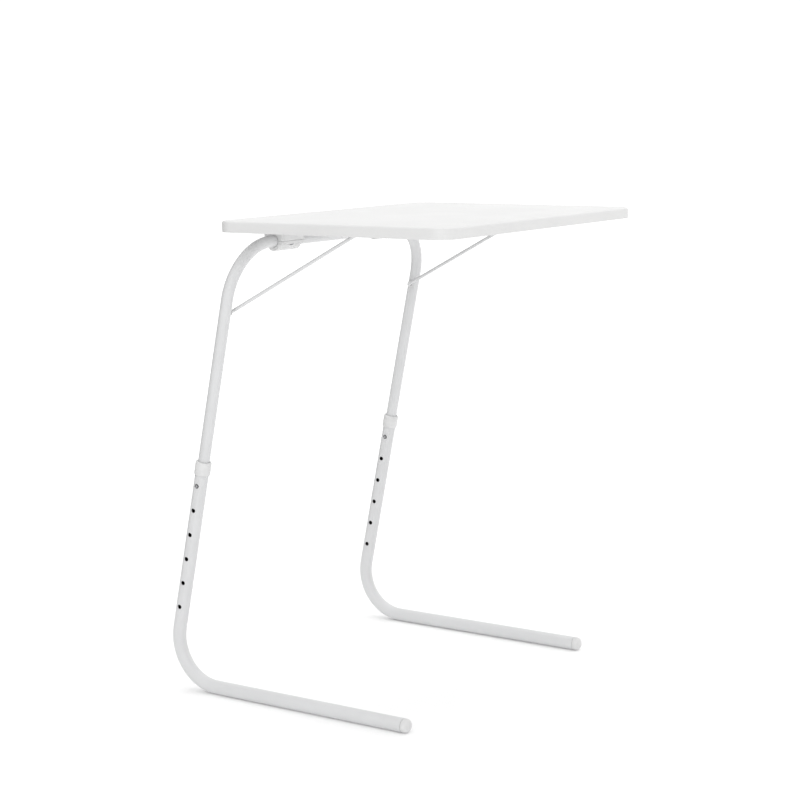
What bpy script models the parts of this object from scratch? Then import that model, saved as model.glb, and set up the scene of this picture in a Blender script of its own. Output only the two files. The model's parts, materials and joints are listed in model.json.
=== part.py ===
"""Folding, height adjustable lap desk: a moulded tray on a telescoping, cantilevered tube frame.

Metres, +Z up. The origin is on the floor, at the middle of the object's bounding box. +X runs
from the left leg to the right leg and -Y is the front, where the feet point and the user sits.
"""

import math

import bmesh
import bpy
from mathutils import Matrix, Vector

# ---------------------------------------------------------------- driving dimensions (metres)
GAP = 0.0003                       # clearance kept between pieces that touch
OVERLAP = 0.001                    # how far tools and welded pieces run past the face they meet

TRAY_WIDTH = 0.520
TRAY_DEPTH = 0.390
TRAY_HEIGHT = 0.016
TRAY_WALL = 0.003
TRAY_CORNER = 0.028
TRAY_EDGE_ROUND = 0.0035
TRAY_LOWER_CHAMFER = 0.0006
OVERALL_DEPTH = 0.504              # tray's front edge to the back of the legs' heel bends

LEG_SPACING = 0.480                # between the axes of the two legs
LEAN = math.radians(12.16)         # the legs lean forwards, towards -Y
LOWER_RADIUS = 0.010
UPPER_RADIUS = 0.0085
TUBE_WALL = 0.0012
TUBE_SIDES = 20
HOLE_SIDES = 16
HEEL_BEND = 0.068                  # centre line radius of the bend from leg to foot
FOOT_TIP_Y = -0.160                # where the foot tube ends and its plug's head begins
FOOT_PLUG_HEAD = 0.010
FOOT_PLUG_ROUND = 0.006
FOOT_PLUG_STEM = 0.014
FRAME_PLUG_SKIRT = 0.006           # part of a post's plug below the tube's end
FRAME_PLUG_STEM = 0.010            # and inside it
PLUG_TAPER = 0.001
LOWER_TUBE_TOP = 0.350             # along the leg's axis, from where it meets the floor
CROSS_BAR = 0.6784                 # the same, to the axis of the cross bar
UPPER_TUBE_END = 0.289
SHOULDER_BEND = 0.080              # centre line radius of the upper frame's two bends
BEND_STEPS = 12

TOP_HOLE = 0.319                   # the highest locking hole, along the leg's axis
HOLE_PITCH = 0.038
HOLE_COUNT = 6
HOLE_RADIUS = 0.0034
HOLE_TURN = math.radians(-7.5)     # holes face -X, turned a little to the front
DRILL_START = 0.004                # where a tube's drill starts, from the tube's axis
DRILL_LENGTH = 0.010

COLLAR_BOTTOM = 0.336
COLLAR_TOP = 0.356
COLLAR_RADIUS = 0.01175
COLLAR_LOWER_ROUND = 0.0012
COLLAR_UPPER_ROUND = 0.0025

BUTTON_RADIUS = 0.003
BUTTON_TIP = 0.0126                # from the leg's axis
BUTTON_DOME = 0.0018
BUTTON_FLANGE_RADIUS = 0.004
BUTTON_FLANGE_BASE = 0.0049
BUTTON_FLANGE_THICKNESS = 0.0008
SPRING_FAR_ARM = -0.0065           # from the leg's axis to the arm on the far wall
SPRING_TAIL = -0.006               # the arms' ends, from the button's height
SPRING_THICKNESS = 0.0006
SPRING_WIDTH = 0.0056
SPRING_LENGTH = 0.034

PROP_PIVOT = 0.580                 # along the leg's axis
PROP_WIRE_RADIUS = 0.0025
PROP_LENGTH = 0.258                # pivot axis to the middle of the bar under the tray
PROP_ARM_X = 0.2245
PROP_TIP_INSET = 0.0045            # from a post's axis to the end of the wire
PROP_BEND = 0.012                  # centre line radius at the corners of the bar
PROP_END_BEND = 0.0045             # and where the ends turn out into the posts
BUSH_RADIUS = 0.0042
BUSH_FLANGE_RADIUS = 0.0055
BUSH_FLANGE_THICKNESS = 0.0010
BUSH_DEPTH = 0.0035                # inside the post's wall

TRAY_RIM_ABOVE_BAR = 0.0193        # tray's lower edge above the cross bar's axis
PROP_BAR_ABOVE_BAR = 0.024         # prop's bar above the cross bar's axis, with the tray level

RIB_DEPTH = 0.0035
RIB_WIDTH = 0.002
RIBS_ACROSS = (-0.200, -0.050, 0.050, 0.200)     # X of the ribs that run front to back
RIBS_ALONG = (0.070, 0.240)        # the cross ribs, from the tray's front edge
PAD_DEPTH = 0.003
PILOT_DEPTH = 0.004                # of the screws' pilot holes in the pads

HINGE_X = 0.126                    # middle of each hinge block
HINGE_WIDTH = 0.052
HINGE_HALF_DEPTH = 0.0170
HINGE_SCREW_Y = 0.0134
SADDLE_CORNER = 0.002
STRAP_DROP = 0.0145                # from the cross bar's axis down to the strap's lowest line
STRAP_ROUND = 0.0104
STRAP_FLANGE = 0.0045              # and to the underside of its flanges

RAIL_X = 0.150
RAIL_WIDTH = 0.014
RAIL_THICKNESS = 0.0045
RAIL_FRONT_ROOM = 0.030            # from the foremost seat to the rail's front end
RAIL_REAR_ROOM = 0.018             # and from the rearmost seat to its rear end
RAIL_SCREW_INSET = 0.008
WORKING_TILTS = (0.0, 16.0, 32.0)  # degrees
SEAT_REAR_ROOM = 0.0029            # from a seated bar's centre back to the wall behind it
SEAT_FRONT_ROOM = 0.0049           # and forwards to the wall that holds it
SEAT_DEPTH = 0.0023

SCREW_SHANK = 0.0015
SCREW_HOLE = SCREW_SHANK + GAP
SCREW_HEAD_RADIUS = 0.0026
SCREW_HEAD_HEIGHT = 0.0018
SCREW_FACE_RADIUS = 0.00156        # flat part of the head
SCREW_POINT = 0.0012
SCREW_BITE = 0.0032                # how far the tips reach into the pads
SCREW_SIDES = 12

# ---------------------------------------------------------------- places worked out from them
FRONT_EDGE_Y = -OVERALL_DEPTH / 2
HEEL_CENTRE_Y = OVERALL_DEPTH / 2 - LOWER_RADIUS - HEEL_BEND
HEEL_CENTRE_Z = LOWER_RADIUS + HEEL_BEND
LEG_FLOOR_Y = (
    HEEL_CENTRE_Y
    + HEEL_BEND * math.cos(LEAN)
    + (HEEL_CENTRE_Z + HEEL_BEND * math.sin(LEAN)) * math.tan(LEAN)
)
HEEL_TANGENT = (HEEL_CENTRE_Z + HEEL_BEND * math.sin(LEAN)) / math.cos(LEAN)
HEEL_ANGLE = math.pi / 2 + LEAN
BAR_Y = LEG_FLOOR_Y - CROSS_BAR * math.sin(LEAN)
BAR_Z = CROSS_BAR * math.cos(LEAN)
PIVOT_Y = LEG_FLOOR_Y - PROP_PIVOT * math.sin(LEAN)
PIVOT_Z = PROP_PIVOT * math.cos(LEAN)
PROP_RISE = math.asin((BAR_Z + PROP_BAR_ABOVE_BAR - PIVOT_Z) / PROP_LENGTH)

TRAY_FRONT = FRONT_EDGE_Y - BAR_Y                                    # in the tray hinge's frame
TRAY_MIDDLE_Y = TRAY_FRONT + TRAY_DEPTH / 2
TRAY_UNDERSIDE = TRAY_RIM_ABOVE_BAR + TRAY_HEIGHT - TRAY_WALL
PAD_UNDERSIDE = TRAY_UNDERSIDE - PAD_DEPTH

WHITE_PAINT = ("white_paint", (0.80, 0.81, 0.82), 0.32, 0.0)
WHITE_PLASTIC = ("white_plastic", (0.86, 0.86, 0.85), 0.45, 0.0)
WHITE_FITTINGS = ("white_fittings", (0.82, 0.82, 0.81), 0.5, 0.0)
BRIGHT_STEEL = ("bright_steel", (0.62, 0.62, 0.63), 0.3, 1.0)
SPRING_STEEL = ("spring_steel", (0.42, 0.43, 0.45), 0.35, 1.0)

X_AXIS = Vector((1.0, 0.0, 0.0))
Y_AXIS = Vector((0.0, 1.0, 0.0))
Z_AXIS = Vector((0.0, 0.0, 1.0))


# ---------------------------------------------------------------- helpers
def clear_scene():
    """Remove every object the file opened with."""
    for old in list(bpy.data.objects):
        bpy.data.objects.remove(old, do_unlink=True)


def material(finish):
    """The Principled material of a finish: its name, colour, roughness and metallic value."""
    name, colour, roughness, metallic = finish
    found = bpy.data.materials.get(name)
    if found:
        return found
    made = bpy.data.materials.new(name)
    made.use_nodes = True
    shader = made.node_tree.nodes["Principled BSDF"]
    shader.inputs["Base Color"].default_value = (*colour, 1.0)
    shader.inputs["Roughness"].default_value = roughness
    shader.inputs["Metallic"].default_value = metallic
    return made


def axis_empty(name, place):
    """An empty on a joint's axis, which the pieces of one body are parented to."""
    empty = bpy.data.objects.new(name, None)
    empty.matrix_world = place
    bpy.context.scene.collection.objects.link(empty)
    return empty


def face_outwards(bm):
    """Point every face of a closed solid outwards."""
    bmesh.ops.recalc_face_normals(bm, faces=bm.faces)
    if bm.calc_volume(signed=True) < 0:
        bmesh.ops.reverse_faces(bm, faces=bm.faces)


def piece(name, bm, parent, finish):
    """Turn a bmesh into a named object with its material, in its parent empty's frame."""
    face_outwards(bm)
    mesh = bpy.data.meshes.new(name)
    bm.to_mesh(mesh)
    bm.free()
    mesh.shade_smooth()
    mesh.set_sharp_from_angle(angle=math.radians(35.0))
    mesh.materials.append(material(finish))
    made = bpy.data.objects.new(name, mesh)
    made.parent = parent
    bpy.context.scene.collection.objects.link(made)
    return made


def cut(target, bm, operation="DIFFERENCE"):
    """Cut a bmesh out of a piece, or join it on, with a hidden tool object in the same frame."""
    face_outwards(bm)
    mesh = bpy.data.meshes.new(target.name + "_tool")
    bm.to_mesh(mesh)
    bm.free()
    tool = bpy.data.objects.new(mesh.name, mesh)
    tool.parent = target.parent
    tool.hide_render = True
    tool.display_type = "WIRE"
    bpy.context.scene.collection.objects.link(tool)
    boolean = target.modifiers.new(operation.lower(), "BOOLEAN")
    boolean.operation = operation
    boolean.solver = "EXACT"
    boolean.object = tool
    return target


def along(origin, direction, across=X_AXIS):
    """A matrix whose Z runs along direction and whose X is as near to across as it can be."""
    z = Vector(direction).normalized()
    if abs(z.dot(across)) > 0.99:
        across = Y_AXIS
    y = z.cross(across).normalized()
    x = y.cross(z)
    turn = Matrix((x, y, z)).transposed().to_4x4()
    return Matrix.Translation(origin) @ turn


def box(bm, low, high):
    """Add a box between two corners."""
    low, high = Vector(low), Vector(high)
    size = Matrix.Diagonal((*(high - low), 1.0))
    bmesh.ops.create_cube(bm, size=1.0, matrix=Matrix.Translation((low + high) / 2) @ size)


def rod(bm, start, direction, length, radius, sides):
    """Add a plain closed cylinder that starts at a point."""
    middle = Vector(start) + Vector(direction).normalized() * length / 2
    bmesh.ops.create_cone(
        bm, cap_ends=True, segments=sides, radius1=radius, radius2=radius,
        depth=length, matrix=along(middle, direction),
    )


def turned(profile, place, sides=24):
    """Spin a closed outline of (radius, height) points round the Z axis of a matrix."""
    bm = bmesh.new()
    points = [bm.verts.new((radius, 0.0, height)) for radius, height in profile]
    edges = [bm.edges.new(pair) for pair in zip(points, points[1:] + points[:1])]
    on_axis = [e for e in edges if all(v.co.x < 1e-9 for v in e.verts)]
    bmesh.ops.delete(bm, geom=on_axis, context="EDGES_FACES")
    edges = list(bm.edges)
    bmesh.ops.spin(
        bm, geom=list(bm.verts) + edges, cent=(0, 0, 0), axis=(0, 0, 1),
        angle=2 * math.pi, steps=sides, use_merge=True,
    )
    bmesh.ops.remove_doubles(bm, verts=bm.verts, dist=1e-6)
    bm.transform(place)
    return bm


def arc(centre, radius, start, end, steps):
    """Points (radius, height) of an arc between two angles in degrees, ends included."""
    angles = [math.radians(start + (end - start) * i / steps) for i in range(steps + 1)]
    return [(centre[0] + radius * math.cos(a), centre[1] + radius * math.sin(a)) for a in angles]


def drawn(bm, geom, vector):
    """Draw an end out along a vector, and return the geometry of the new end."""
    made = bmesh.ops.extrude_face_region(bm, geom=geom)["geom"]
    verts = [g for g in made if isinstance(g, bmesh.types.BMVert)]
    bmesh.ops.translate(bm, verts=verts, vec=vector)
    return made


def prism(outline, vector):
    """A flat outline of points drawn out along a vector into a closed solid."""
    bm = bmesh.new()
    face = bm.faces.new([bm.verts.new(point) for point in outline])
    drawn(bm, list(face.verts) + list(face.edges) + [face], vector)
    return bm


class Pipe:
    """A tube or rod drawn out of its end face: straight runs and bends, one after another."""

    def __init__(self, start, direction, radius, bore=0.0, sides=TUBE_SIDES, across=X_AXIS):
        self.bm = bmesh.new()
        place = along(start, direction, across)
        rims = [self.circle(place, radius, sides, not bore)]
        if bore:
            rims.append(self.circle(place, bore, sides, False))
            bmesh.ops.bridge_loops(self.bm, edges=[e for rim in rims for e in rim])
        self.end = list(self.bm.verts) + list(self.bm.edges) + list(self.bm.faces)

    def circle(self, place, radius, sides, filled):
        """Add one circle, filled for a solid rod, and return its edges."""
        made = bmesh.ops.create_circle(
            self.bm, cap_ends=filled, segments=sides, radius=radius, matrix=place
        )
        return list({e for v in made["verts"] for e in v.link_edges})

    def run(self, vector):
        """Draw the end face out in a straight line."""
        self.end = drawn(self.bm, self.end, vector)
        return self

    def bend(self, centre, axis, angle, steps=BEND_STEPS):
        """Draw the end face round an arc."""
        spun = bmesh.ops.spin(
            self.bm, geom=self.end, cent=centre, axis=axis, angle=angle, steps=steps
        )
        self.end = spun["geom_last"]
        return self


def rounded_rectangle(half_x, half_y, corner, steps=6):
    """Points round a rectangle with round corners, anticlockwise."""
    points = []
    for quarter, (sx, sy) in enumerate(((1, 1), (-1, 1), (-1, -1), (1, -1))):
        centre = (sx * (half_x - corner), sy * (half_y - corner))
        points += arc(centre, corner, 90.0 * quarter, 90.0 * (quarter + 1), steps)
    return points


# ---------------------------------------------------------------- legs
def hole_direction():
    """The way the locking holes and buttons face, in a leg's own frame."""
    return Vector((-math.cos(HOLE_TURN), math.sin(HOLE_TURN), 0.0))


def leg_tube(side, parent):
    """Lower tube: straight leg, heel bend and foot, with the row of locking holes."""
    pipe = Pipe((0, 0, LOWER_TUBE_TOP), -Z_AXIS, LOWER_RADIUS, LOWER_RADIUS - TUBE_WALL)
    pipe.run(Vector((0, 0, HEEL_TANGENT - LOWER_TUBE_TOP)))
    pipe.bend((0, -HEEL_BEND, HEEL_TANGENT), X_AXIS, -HEEL_ANGLE)
    forwards = Matrix.Rotation(-HEEL_ANGLE, 3, "X") @ -Z_AXIS
    pipe.run(forwards * (HEEL_CENTRE_Y - FOOT_TIP_Y))
    tube = piece(f"leg_tube_{side}", pipe.bm, parent, WHITE_PAINT)
    holes = bmesh.new()
    for step in range(HOLE_COUNT):
        start = Vector((0, 0, TOP_HOLE - step * HOLE_PITCH)) + hole_direction() * DRILL_START
        rod(holes, start, hole_direction(), DRILL_LENGTH, HOLE_RADIUS, HOLE_SIDES)
    return cut(tube, holes)


def foot_plug(side, parent):
    """Plastic plug in the end of a foot, with a rounded head as wide as the tube."""
    stem = LOWER_RADIUS - TUBE_WALL - GAP
    centre = (LOWER_RADIUS - FOOT_PLUG_ROUND, FOOT_PLUG_HEAD - FOOT_PLUG_ROUND)
    profile = [(0, -FOOT_PLUG_STEM), (stem - PLUG_TAPER, -FOOT_PLUG_STEM)]
    profile += [(stem, -FOOT_PLUG_STEM + 2 * PLUG_TAPER), (stem, GAP), (LOWER_RADIUS, GAP)]
    profile += arc(centre, FOOT_PLUG_ROUND, 0, 90, 5)
    profile += [(0, FOOT_PLUG_HEAD)]
    tip = Vector((0, FOOT_TIP_Y - LEG_FLOOR_Y, LOWER_RADIUS))
    place = parent.matrix_world.to_3x3().transposed().to_4x4() @ along(tip, -Y_AXIS)
    return piece(f"foot_plug_{side}", turned(profile, place, TUBE_SIDES), parent, WHITE_FITTINGS)


def collar(side, parent):
    """Plastic sleeve over the lower tube's mouth, which guides the upper tube."""
    grip = LOWER_RADIUS + GAP
    mouth = UPPER_RADIUS + GAP
    shoulder = LOWER_TUBE_TOP + GAP
    edge = COLLAR_LOWER_ROUND
    lip = COLLAR_UPPER_ROUND
    profile = [(grip, COLLAR_BOTTOM)]
    profile += arc((COLLAR_RADIUS - edge, COLLAR_BOTTOM + edge), edge, -90, 0, 2)
    profile += arc((COLLAR_RADIUS - lip, COLLAR_TOP - lip), lip, 0, 90, 4)
    profile += [(mouth, COLLAR_TOP), (mouth, shoulder), (grip, shoulder)]
    return piece(f"collar_{side}", turned(profile, Matrix(), 28), parent, WHITE_FITTINGS)


# ---------------------------------------------------------------- upper frame
def upper_frame_tube(parent):
    """One tube bent into an upside-down U: two posts and the cross bar the tray hangs on."""
    half = LEG_SPACING / 2
    bend_start = CROSS_BAR - SHOULDER_BEND
    turn = math.pi / 2
    pipe = Pipe(
        (-half, 0, UPPER_TUBE_END), Z_AXIS, UPPER_RADIUS, UPPER_RADIUS - TUBE_WALL
    )
    pipe.run(Vector((0, 0, bend_start - UPPER_TUBE_END)))
    pipe.bend((-half + SHOULDER_BEND, 0, bend_start), Y_AXIS, turn)
    pipe.run(Vector((LEG_SPACING - 2 * SHOULDER_BEND, 0, 0)))
    pipe.bend((half - SHOULDER_BEND, 0, bend_start), Y_AXIS, turn)
    pipe.run(Vector((0, 0, UPPER_TUBE_END - bend_start)))
    tube = piece("upper_frame_tube", pipe.bm, parent, WHITE_PAINT)
    holes = bmesh.new()
    for sign in (-1, 1):
        button = Vector((sign * half, 0, TOP_HOLE)) + hole_direction() * DRILL_START
        rod(holes, button, hole_direction(), DRILL_LENGTH, HOLE_RADIUS, HOLE_SIDES)
        bush = Vector((sign * (half - DRILL_START), 0, PROP_PIVOT))
        rod(holes, bush, -sign * X_AXIS, DRILL_LENGTH, BUSH_RADIUS + GAP, HOLE_SIDES)
    return cut(tube, holes)


def frame_plug(side, sign, parent):
    """Plastic plug in the lower end of a post, which keeps it running centred in the leg."""
    stem = UPPER_RADIUS - TUBE_WALL - GAP
    bottom = -FRAME_PLUG_SKIRT
    profile = [(0, bottom), (UPPER_RADIUS - PLUG_TAPER, bottom)]
    profile += [(UPPER_RADIUS, bottom + PLUG_TAPER), (UPPER_RADIUS, -GAP)]
    profile += [(stem, -GAP), (stem, FRAME_PLUG_STEM), (0, FRAME_PLUG_STEM)]
    place = Matrix.Translation((sign * LEG_SPACING / 2, 0, UPPER_TUBE_END))
    plug = turned(profile, place, TUBE_SIDES)
    return piece(f"frame_plug_{side}", plug, parent, WHITE_FITTINGS)


def button_spring(side, sign, parent):
    """Folded strip spring inside a post: one arm on the far wall, one behind the button."""
    near = BUTTON_FLANGE_BASE - GAP
    far = SPRING_FAR_ARM
    tail = SPRING_TAIL
    fold = (near - far) / 2
    centre = ((near + far) / 2, SPRING_LENGTH - fold)
    outline = arc(centre, fold, 0, 180, 8)
    outline += [(far, tail), (far + SPRING_THICKNESS, tail)]
    outline += arc(centre, fold - SPRING_THICKNESS, 180, 0, 8)
    outline += [(near - SPRING_THICKNESS, tail), (near, tail)]
    side_on = [(x, -SPRING_WIDTH / 2, z) for x, z in outline]
    bm = prism(side_on, (0, SPRING_WIDTH, 0))
    turn = math.atan2(hole_direction().y, hole_direction().x)
    bm.transform(
        Matrix.Translation((sign * LEG_SPACING / 2, 0, TOP_HOLE)) @ Matrix.Rotation(turn, 4, "Z")
    )
    return piece(f"button_spring_{side}", bm, parent, SPRING_STEEL)


def lock_button(side, parent):
    """Sprung stud that locks a post in one of the leg's holes, with a domed tip."""
    sphere = (BUTTON_RADIUS**2 + BUTTON_DOME**2) / (2 * BUTTON_DOME)
    spread = math.degrees(math.asin(BUTTON_RADIUS / sphere))
    flange_top = BUTTON_FLANGE_BASE + BUTTON_FLANGE_THICKNESS
    profile = [(0, BUTTON_FLANGE_BASE), (BUTTON_FLANGE_RADIUS, BUTTON_FLANGE_BASE)]
    profile += [(BUTTON_FLANGE_RADIUS, flange_top), (BUTTON_RADIUS, flange_top)]
    profile += arc((0, BUTTON_TIP - sphere), sphere, 90 - spread, 90, 4)
    profile[-1] = (0, BUTTON_TIP)
    place = along((0, 0, 0), hole_direction(), Z_AXIS)
    return piece(f"lock_button_{side}", turned(profile, place, TUBE_SIDES), parent, BRIGHT_STEEL)


# ---------------------------------------------------------------- prop
def prop_bush(side, sign, parent):
    """Nylon bush in a post's inner wall, which the prop's turned-in end swings in."""
    bore = PROP_WIRE_RADIUS + GAP
    face = GAP + BUSH_FLANGE_THICKNESS
    profile = [(bore, -BUSH_DEPTH), (BUSH_RADIUS, -BUSH_DEPTH), (BUSH_RADIUS, GAP)]
    profile += [(BUSH_FLANGE_RADIUS, GAP), (BUSH_FLANGE_RADIUS, face), (bore, face)]
    start = Vector((sign * (LEG_SPACING / 2 - UPPER_RADIUS), 0, PROP_PIVOT))
    place = along(start, -sign * X_AXIS, Y_AXIS)
    return piece(f"prop_bush_{side}", turned(profile, place, TUBE_SIDES), parent, WHITE_FITTINGS)


def prop_wire(parent):
    """Wire bail: two arms and the bar that holds the tray up, with ends turned into the posts."""
    tip_x = LEG_SPACING / 2 - PROP_TIP_INSET
    turn = math.pi / 2
    pipe = Pipe((-tip_x, 0, 0), X_AXIS, PROP_WIRE_RADIUS, sides=12, across=Y_AXIS)
    pipe.run(Vector((tip_x - PROP_ARM_X - PROP_END_BEND, 0, 0)))
    pipe.bend((-PROP_ARM_X - PROP_END_BEND, -PROP_END_BEND, 0), Z_AXIS, -turn, 5)
    pipe.run(Vector((0, -(PROP_LENGTH - PROP_END_BEND - PROP_BEND), 0)))
    pipe.bend((-PROP_ARM_X + PROP_BEND, -PROP_LENGTH + PROP_BEND, 0), Z_AXIS, turn, 6)
    pipe.run(Vector((2 * (PROP_ARM_X - PROP_BEND), 0, 0)))
    pipe.bend((PROP_ARM_X - PROP_BEND, -PROP_LENGTH + PROP_BEND, 0), Z_AXIS, turn, 6)
    pipe.run(Vector((0, PROP_LENGTH - PROP_END_BEND - PROP_BEND, 0)))
    pipe.bend((PROP_ARM_X + PROP_END_BEND, -PROP_END_BEND, 0), Z_AXIS, -turn, 5)
    pipe.run(Vector((tip_x - PROP_ARM_X - PROP_END_BEND, 0, 0)))
    return piece("prop_wire", pipe.bm, parent, WHITE_PAINT)


# ---------------------------------------------------------------- tray
def tray_top(parent):
    """Moulded tray: a flat top with a rounded edge and a skirt, ribs and pads below."""
    rim = TRAY_RIM_ABOVE_BAR
    top = rim + TRAY_HEIGHT
    edge = TRAY_EDGE_ROUND
    outside = [(TRAY_LOWER_CHAMFER, rim), (0.0, rim + TRAY_LOWER_CHAMFER)]
    outside += [(edge - r, z) for r, z in arc((0.0, top - edge), edge, 0, 90, 4)]
    inside = [(TRAY_WALL, TRAY_UNDERSIDE), (TRAY_WALL, rim)]
    bm = bmesh.new()
    rings = []
    for inset, height in outside + inside:
        outline = rounded_rectangle(
            TRAY_WIDTH / 2 - inset, TRAY_DEPTH / 2 - inset, TRAY_CORNER - inset
        )
        rings.append([bm.verts.new((x, TRAY_MIDDLE_Y + y, height)) for x, y in outline])
    crown = len(outside) - 1
    bm.faces.new(rings[crown])
    bm.faces.new(rings[crown + 1])
    for number, ring in enumerate(rings):
        if number == crown:
            continue
        after = rings[(number + 1) % len(rings)]
        loops = zip(ring, ring[1:] + ring[:1], after[1:] + after[:1], after)
        for corners in loops:
            bm.faces.new(corners)
    tray = piece("tray_top", bm, parent, WHITE_PLASTIC)
    for low, high in tray_ribs() + tray_pads():
        bar = bmesh.new()
        box(bar, low, high)
        cut(tray, bar, "UNION")
    holes = bmesh.new()
    for x, y in hinge_screws() + rail_screws():
        start = (x, y, PAD_UNDERSIDE - OVERLAP)
        rod(holes, start, Z_AXIS, PILOT_DEPTH + OVERLAP, SCREW_HOLE, SCREW_SIDES)
    return cut(tray, holes)


def tray_ribs():
    """Corner pairs of the stiffening ribs: four from front to back, and two across."""
    half_x = TRAY_WIDTH / 2 - TRAY_WALL / 2
    front = TRAY_FRONT + TRAY_WALL / 2
    back = TRAY_FRONT + TRAY_DEPTH - TRAY_WALL / 2
    low = TRAY_UNDERSIDE - RIB_DEPTH
    high = TRAY_UNDERSIDE + OVERLAP
    half = RIB_WIDTH / 2
    ribs = [((x - half, front, low), (x + half, back, high)) for x in RIBS_ACROSS]
    for inset in RIBS_ALONG:
        y = TRAY_FRONT + inset
        ribs.append(((-half_x, y - half, low), (half_x, y + half, high)))
    return ribs


def tray_pads():
    """Corner pairs of the thick pads that the hinge blocks and the rails are screwed to."""
    pads = []
    high = TRAY_UNDERSIDE + OVERLAP
    for sign in (-1, 1):
        hinge = sign * HINGE_X
        reach = HINGE_WIDTH / 2
        pads.append(
            (
                (hinge - reach, -HINGE_HALF_DEPTH, PAD_UNDERSIDE),
                (hinge + reach, HINGE_HALF_DEPTH, high),
            )
        )
        rail = sign * RAIL_X
        front, rear = rail_ends()
        pads.append(
            (
                (rail - RAIL_WIDTH / 2, front, PAD_UNDERSIDE),
                (rail + RAIL_WIDTH / 2, rear, high),
            )
        )
    return pads


# ---------------------------------------------------------------- hinge blocks
def hinge_screws():
    """Where the hinge screws stand, as (x, y) in the tray hinge's frame."""
    return [(sx * HINGE_X, sy * HINGE_SCREW_Y) for sx in (-1, 1) for sy in (-1, 1)]


def bar_bore(x):
    """The cylinder that the cross bar needs through a hinge block."""
    bm = bmesh.new()
    start = (x - HINGE_WIDTH, 0, 0)
    rod(bm, start, X_AXIS, 2 * HINGE_WIDTH, UPPER_RADIUS + GAP, TUBE_SIDES)
    return bm


def hinge_shafts(x):
    """The holes for a hinge block's two screws, through strap and saddle."""
    bm = bmesh.new()
    length = STRAP_DROP + PAD_UNDERSIDE + 2 * OVERLAP
    for y in (-HINGE_SCREW_Y, HINGE_SCREW_Y):
        start = (x, y, -STRAP_DROP - OVERLAP)
        rod(bm, start, Z_AXIS, length, SCREW_HOLE, SCREW_SIDES)
    return bm


def hinge_saddle(side, sign, parent):
    """Upper half of a hinge block, between the tray's pad and the cross bar."""
    x = sign * HINGE_X
    reach = HINGE_WIDTH / 2
    bm = bmesh.new()
    box(
        bm,
        (x - reach, -HINGE_HALF_DEPTH, GAP / 2),
        (x + reach, HINGE_HALF_DEPTH, PAD_UNDERSIDE - GAP),
    )
    bmesh.ops.bevel(
        bm, geom=upright_edges(bm), offset=SADDLE_CORNER, segments=2, affect="EDGES", profile=0.5
    )
    saddle = piece(f"hinge_saddle_{side}", bm, parent, WHITE_FITTINGS)
    cut(saddle, bar_bore(x))
    return cut(saddle, hinge_shafts(x))


def upright_edges(bm):
    """The edges of a box that stand up along Z."""
    return [e for e in bm.edges if abs((e.verts[0].co - e.verts[1].co).z) > GAP]


def hinge_strap(side, sign, parent):
    """Lower half of a hinge block: a round strap under the bar with a flange on each side."""
    x = sign * HINGE_X
    centre = (0, STRAP_ROUND - STRAP_DROP)
    reach = math.degrees(math.asin((STRAP_FLANGE + centre[1]) / STRAP_ROUND))
    flat = -GAP / 2
    outline = [(HINGE_HALF_DEPTH, flat), (HINGE_HALF_DEPTH, -STRAP_FLANGE)]
    outline += arc(centre, STRAP_ROUND, -reach, reach - 180, 10)
    outline += [(-HINGE_HALF_DEPTH, -STRAP_FLANGE), (-HINGE_HALF_DEPTH, flat)]
    end_on = [(x - HINGE_WIDTH / 2, y, z) for y, z in outline]
    bm = prism(end_on, (HINGE_WIDTH, 0, 0))
    strap = piece(f"hinge_strap_{side}", bm, parent, WHITE_FITTINGS)
    cut(strap, bar_bore(x))
    return cut(strap, hinge_shafts(x))


# ---------------------------------------------------------------- catch rails
def seats():
    """How far in front of the hinge the prop's bar seats, for the three working angles."""
    reach = []
    pivot = Vector((PIVOT_Y - BAR_Y, PIVOT_Z - BAR_Z))
    for tilt in map(math.radians, WORKING_TILTS):
        across = Vector((-math.cos(tilt), -math.sin(tilt)))
        up = Vector((-math.sin(tilt), math.cos(tilt)))
        start = up * PROP_BAR_ABOVE_BAR - pivot
        half = start.dot(across)
        reach.append(-half + math.sqrt(half**2 - start.length_squared + PROP_LENGTH**2))
    return reach


def rail_ends():
    """The front and rear ends of a catch rail, along Y in the tray hinge's frame."""
    return -(seats()[-1] + RAIL_FRONT_ROOM), -(seats()[0] - RAIL_REAR_ROOM)


def rail_screws():
    """Where the rail screws stand, as (x, y) in the tray hinge's frame."""
    front, rear = rail_ends()
    places = (front + RAIL_SCREW_INSET, rear - RAIL_SCREW_INSET)
    return [(sx * RAIL_X, y) for sx in (-1, 1) for y in places]


def catch_rail(side, sign, parent):
    """Rail under the tray with one seat for the prop's bar at each working angle."""
    high = PAD_UNDERSIDE - GAP
    low = high - RAIL_THICKNESS
    front, rear = rail_ends()
    outline = [(rear, low)]
    for reach in seats():
        outline += [(-reach + SEAT_REAR_ROOM, low), (-reach + SEAT_REAR_ROOM, low + SEAT_DEPTH)]
        outline += [(-reach - SEAT_FRONT_ROOM, low + SEAT_DEPTH), (-reach - SEAT_FRONT_ROOM, low)]
    outline += [(front, low), (front, high), (rear, high)]
    side_on = [(sign * RAIL_X - RAIL_WIDTH / 2, y, z) for y, z in outline]
    bm = prism(side_on, (RAIL_WIDTH, 0, 0))
    rail = piece(f"catch_rail_{side}", bm, parent, WHITE_FITTINGS)
    shafts = bmesh.new()
    for x, y in rail_screws():
        if x * sign > 0:
            length = RAIL_THICKNESS + 2 * OVERLAP
            rod(shafts, (x, y, low - OVERLAP), Z_AXIS, length, SCREW_HOLE, SCREW_SIDES)
    return cut(rail, shafts)


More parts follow.
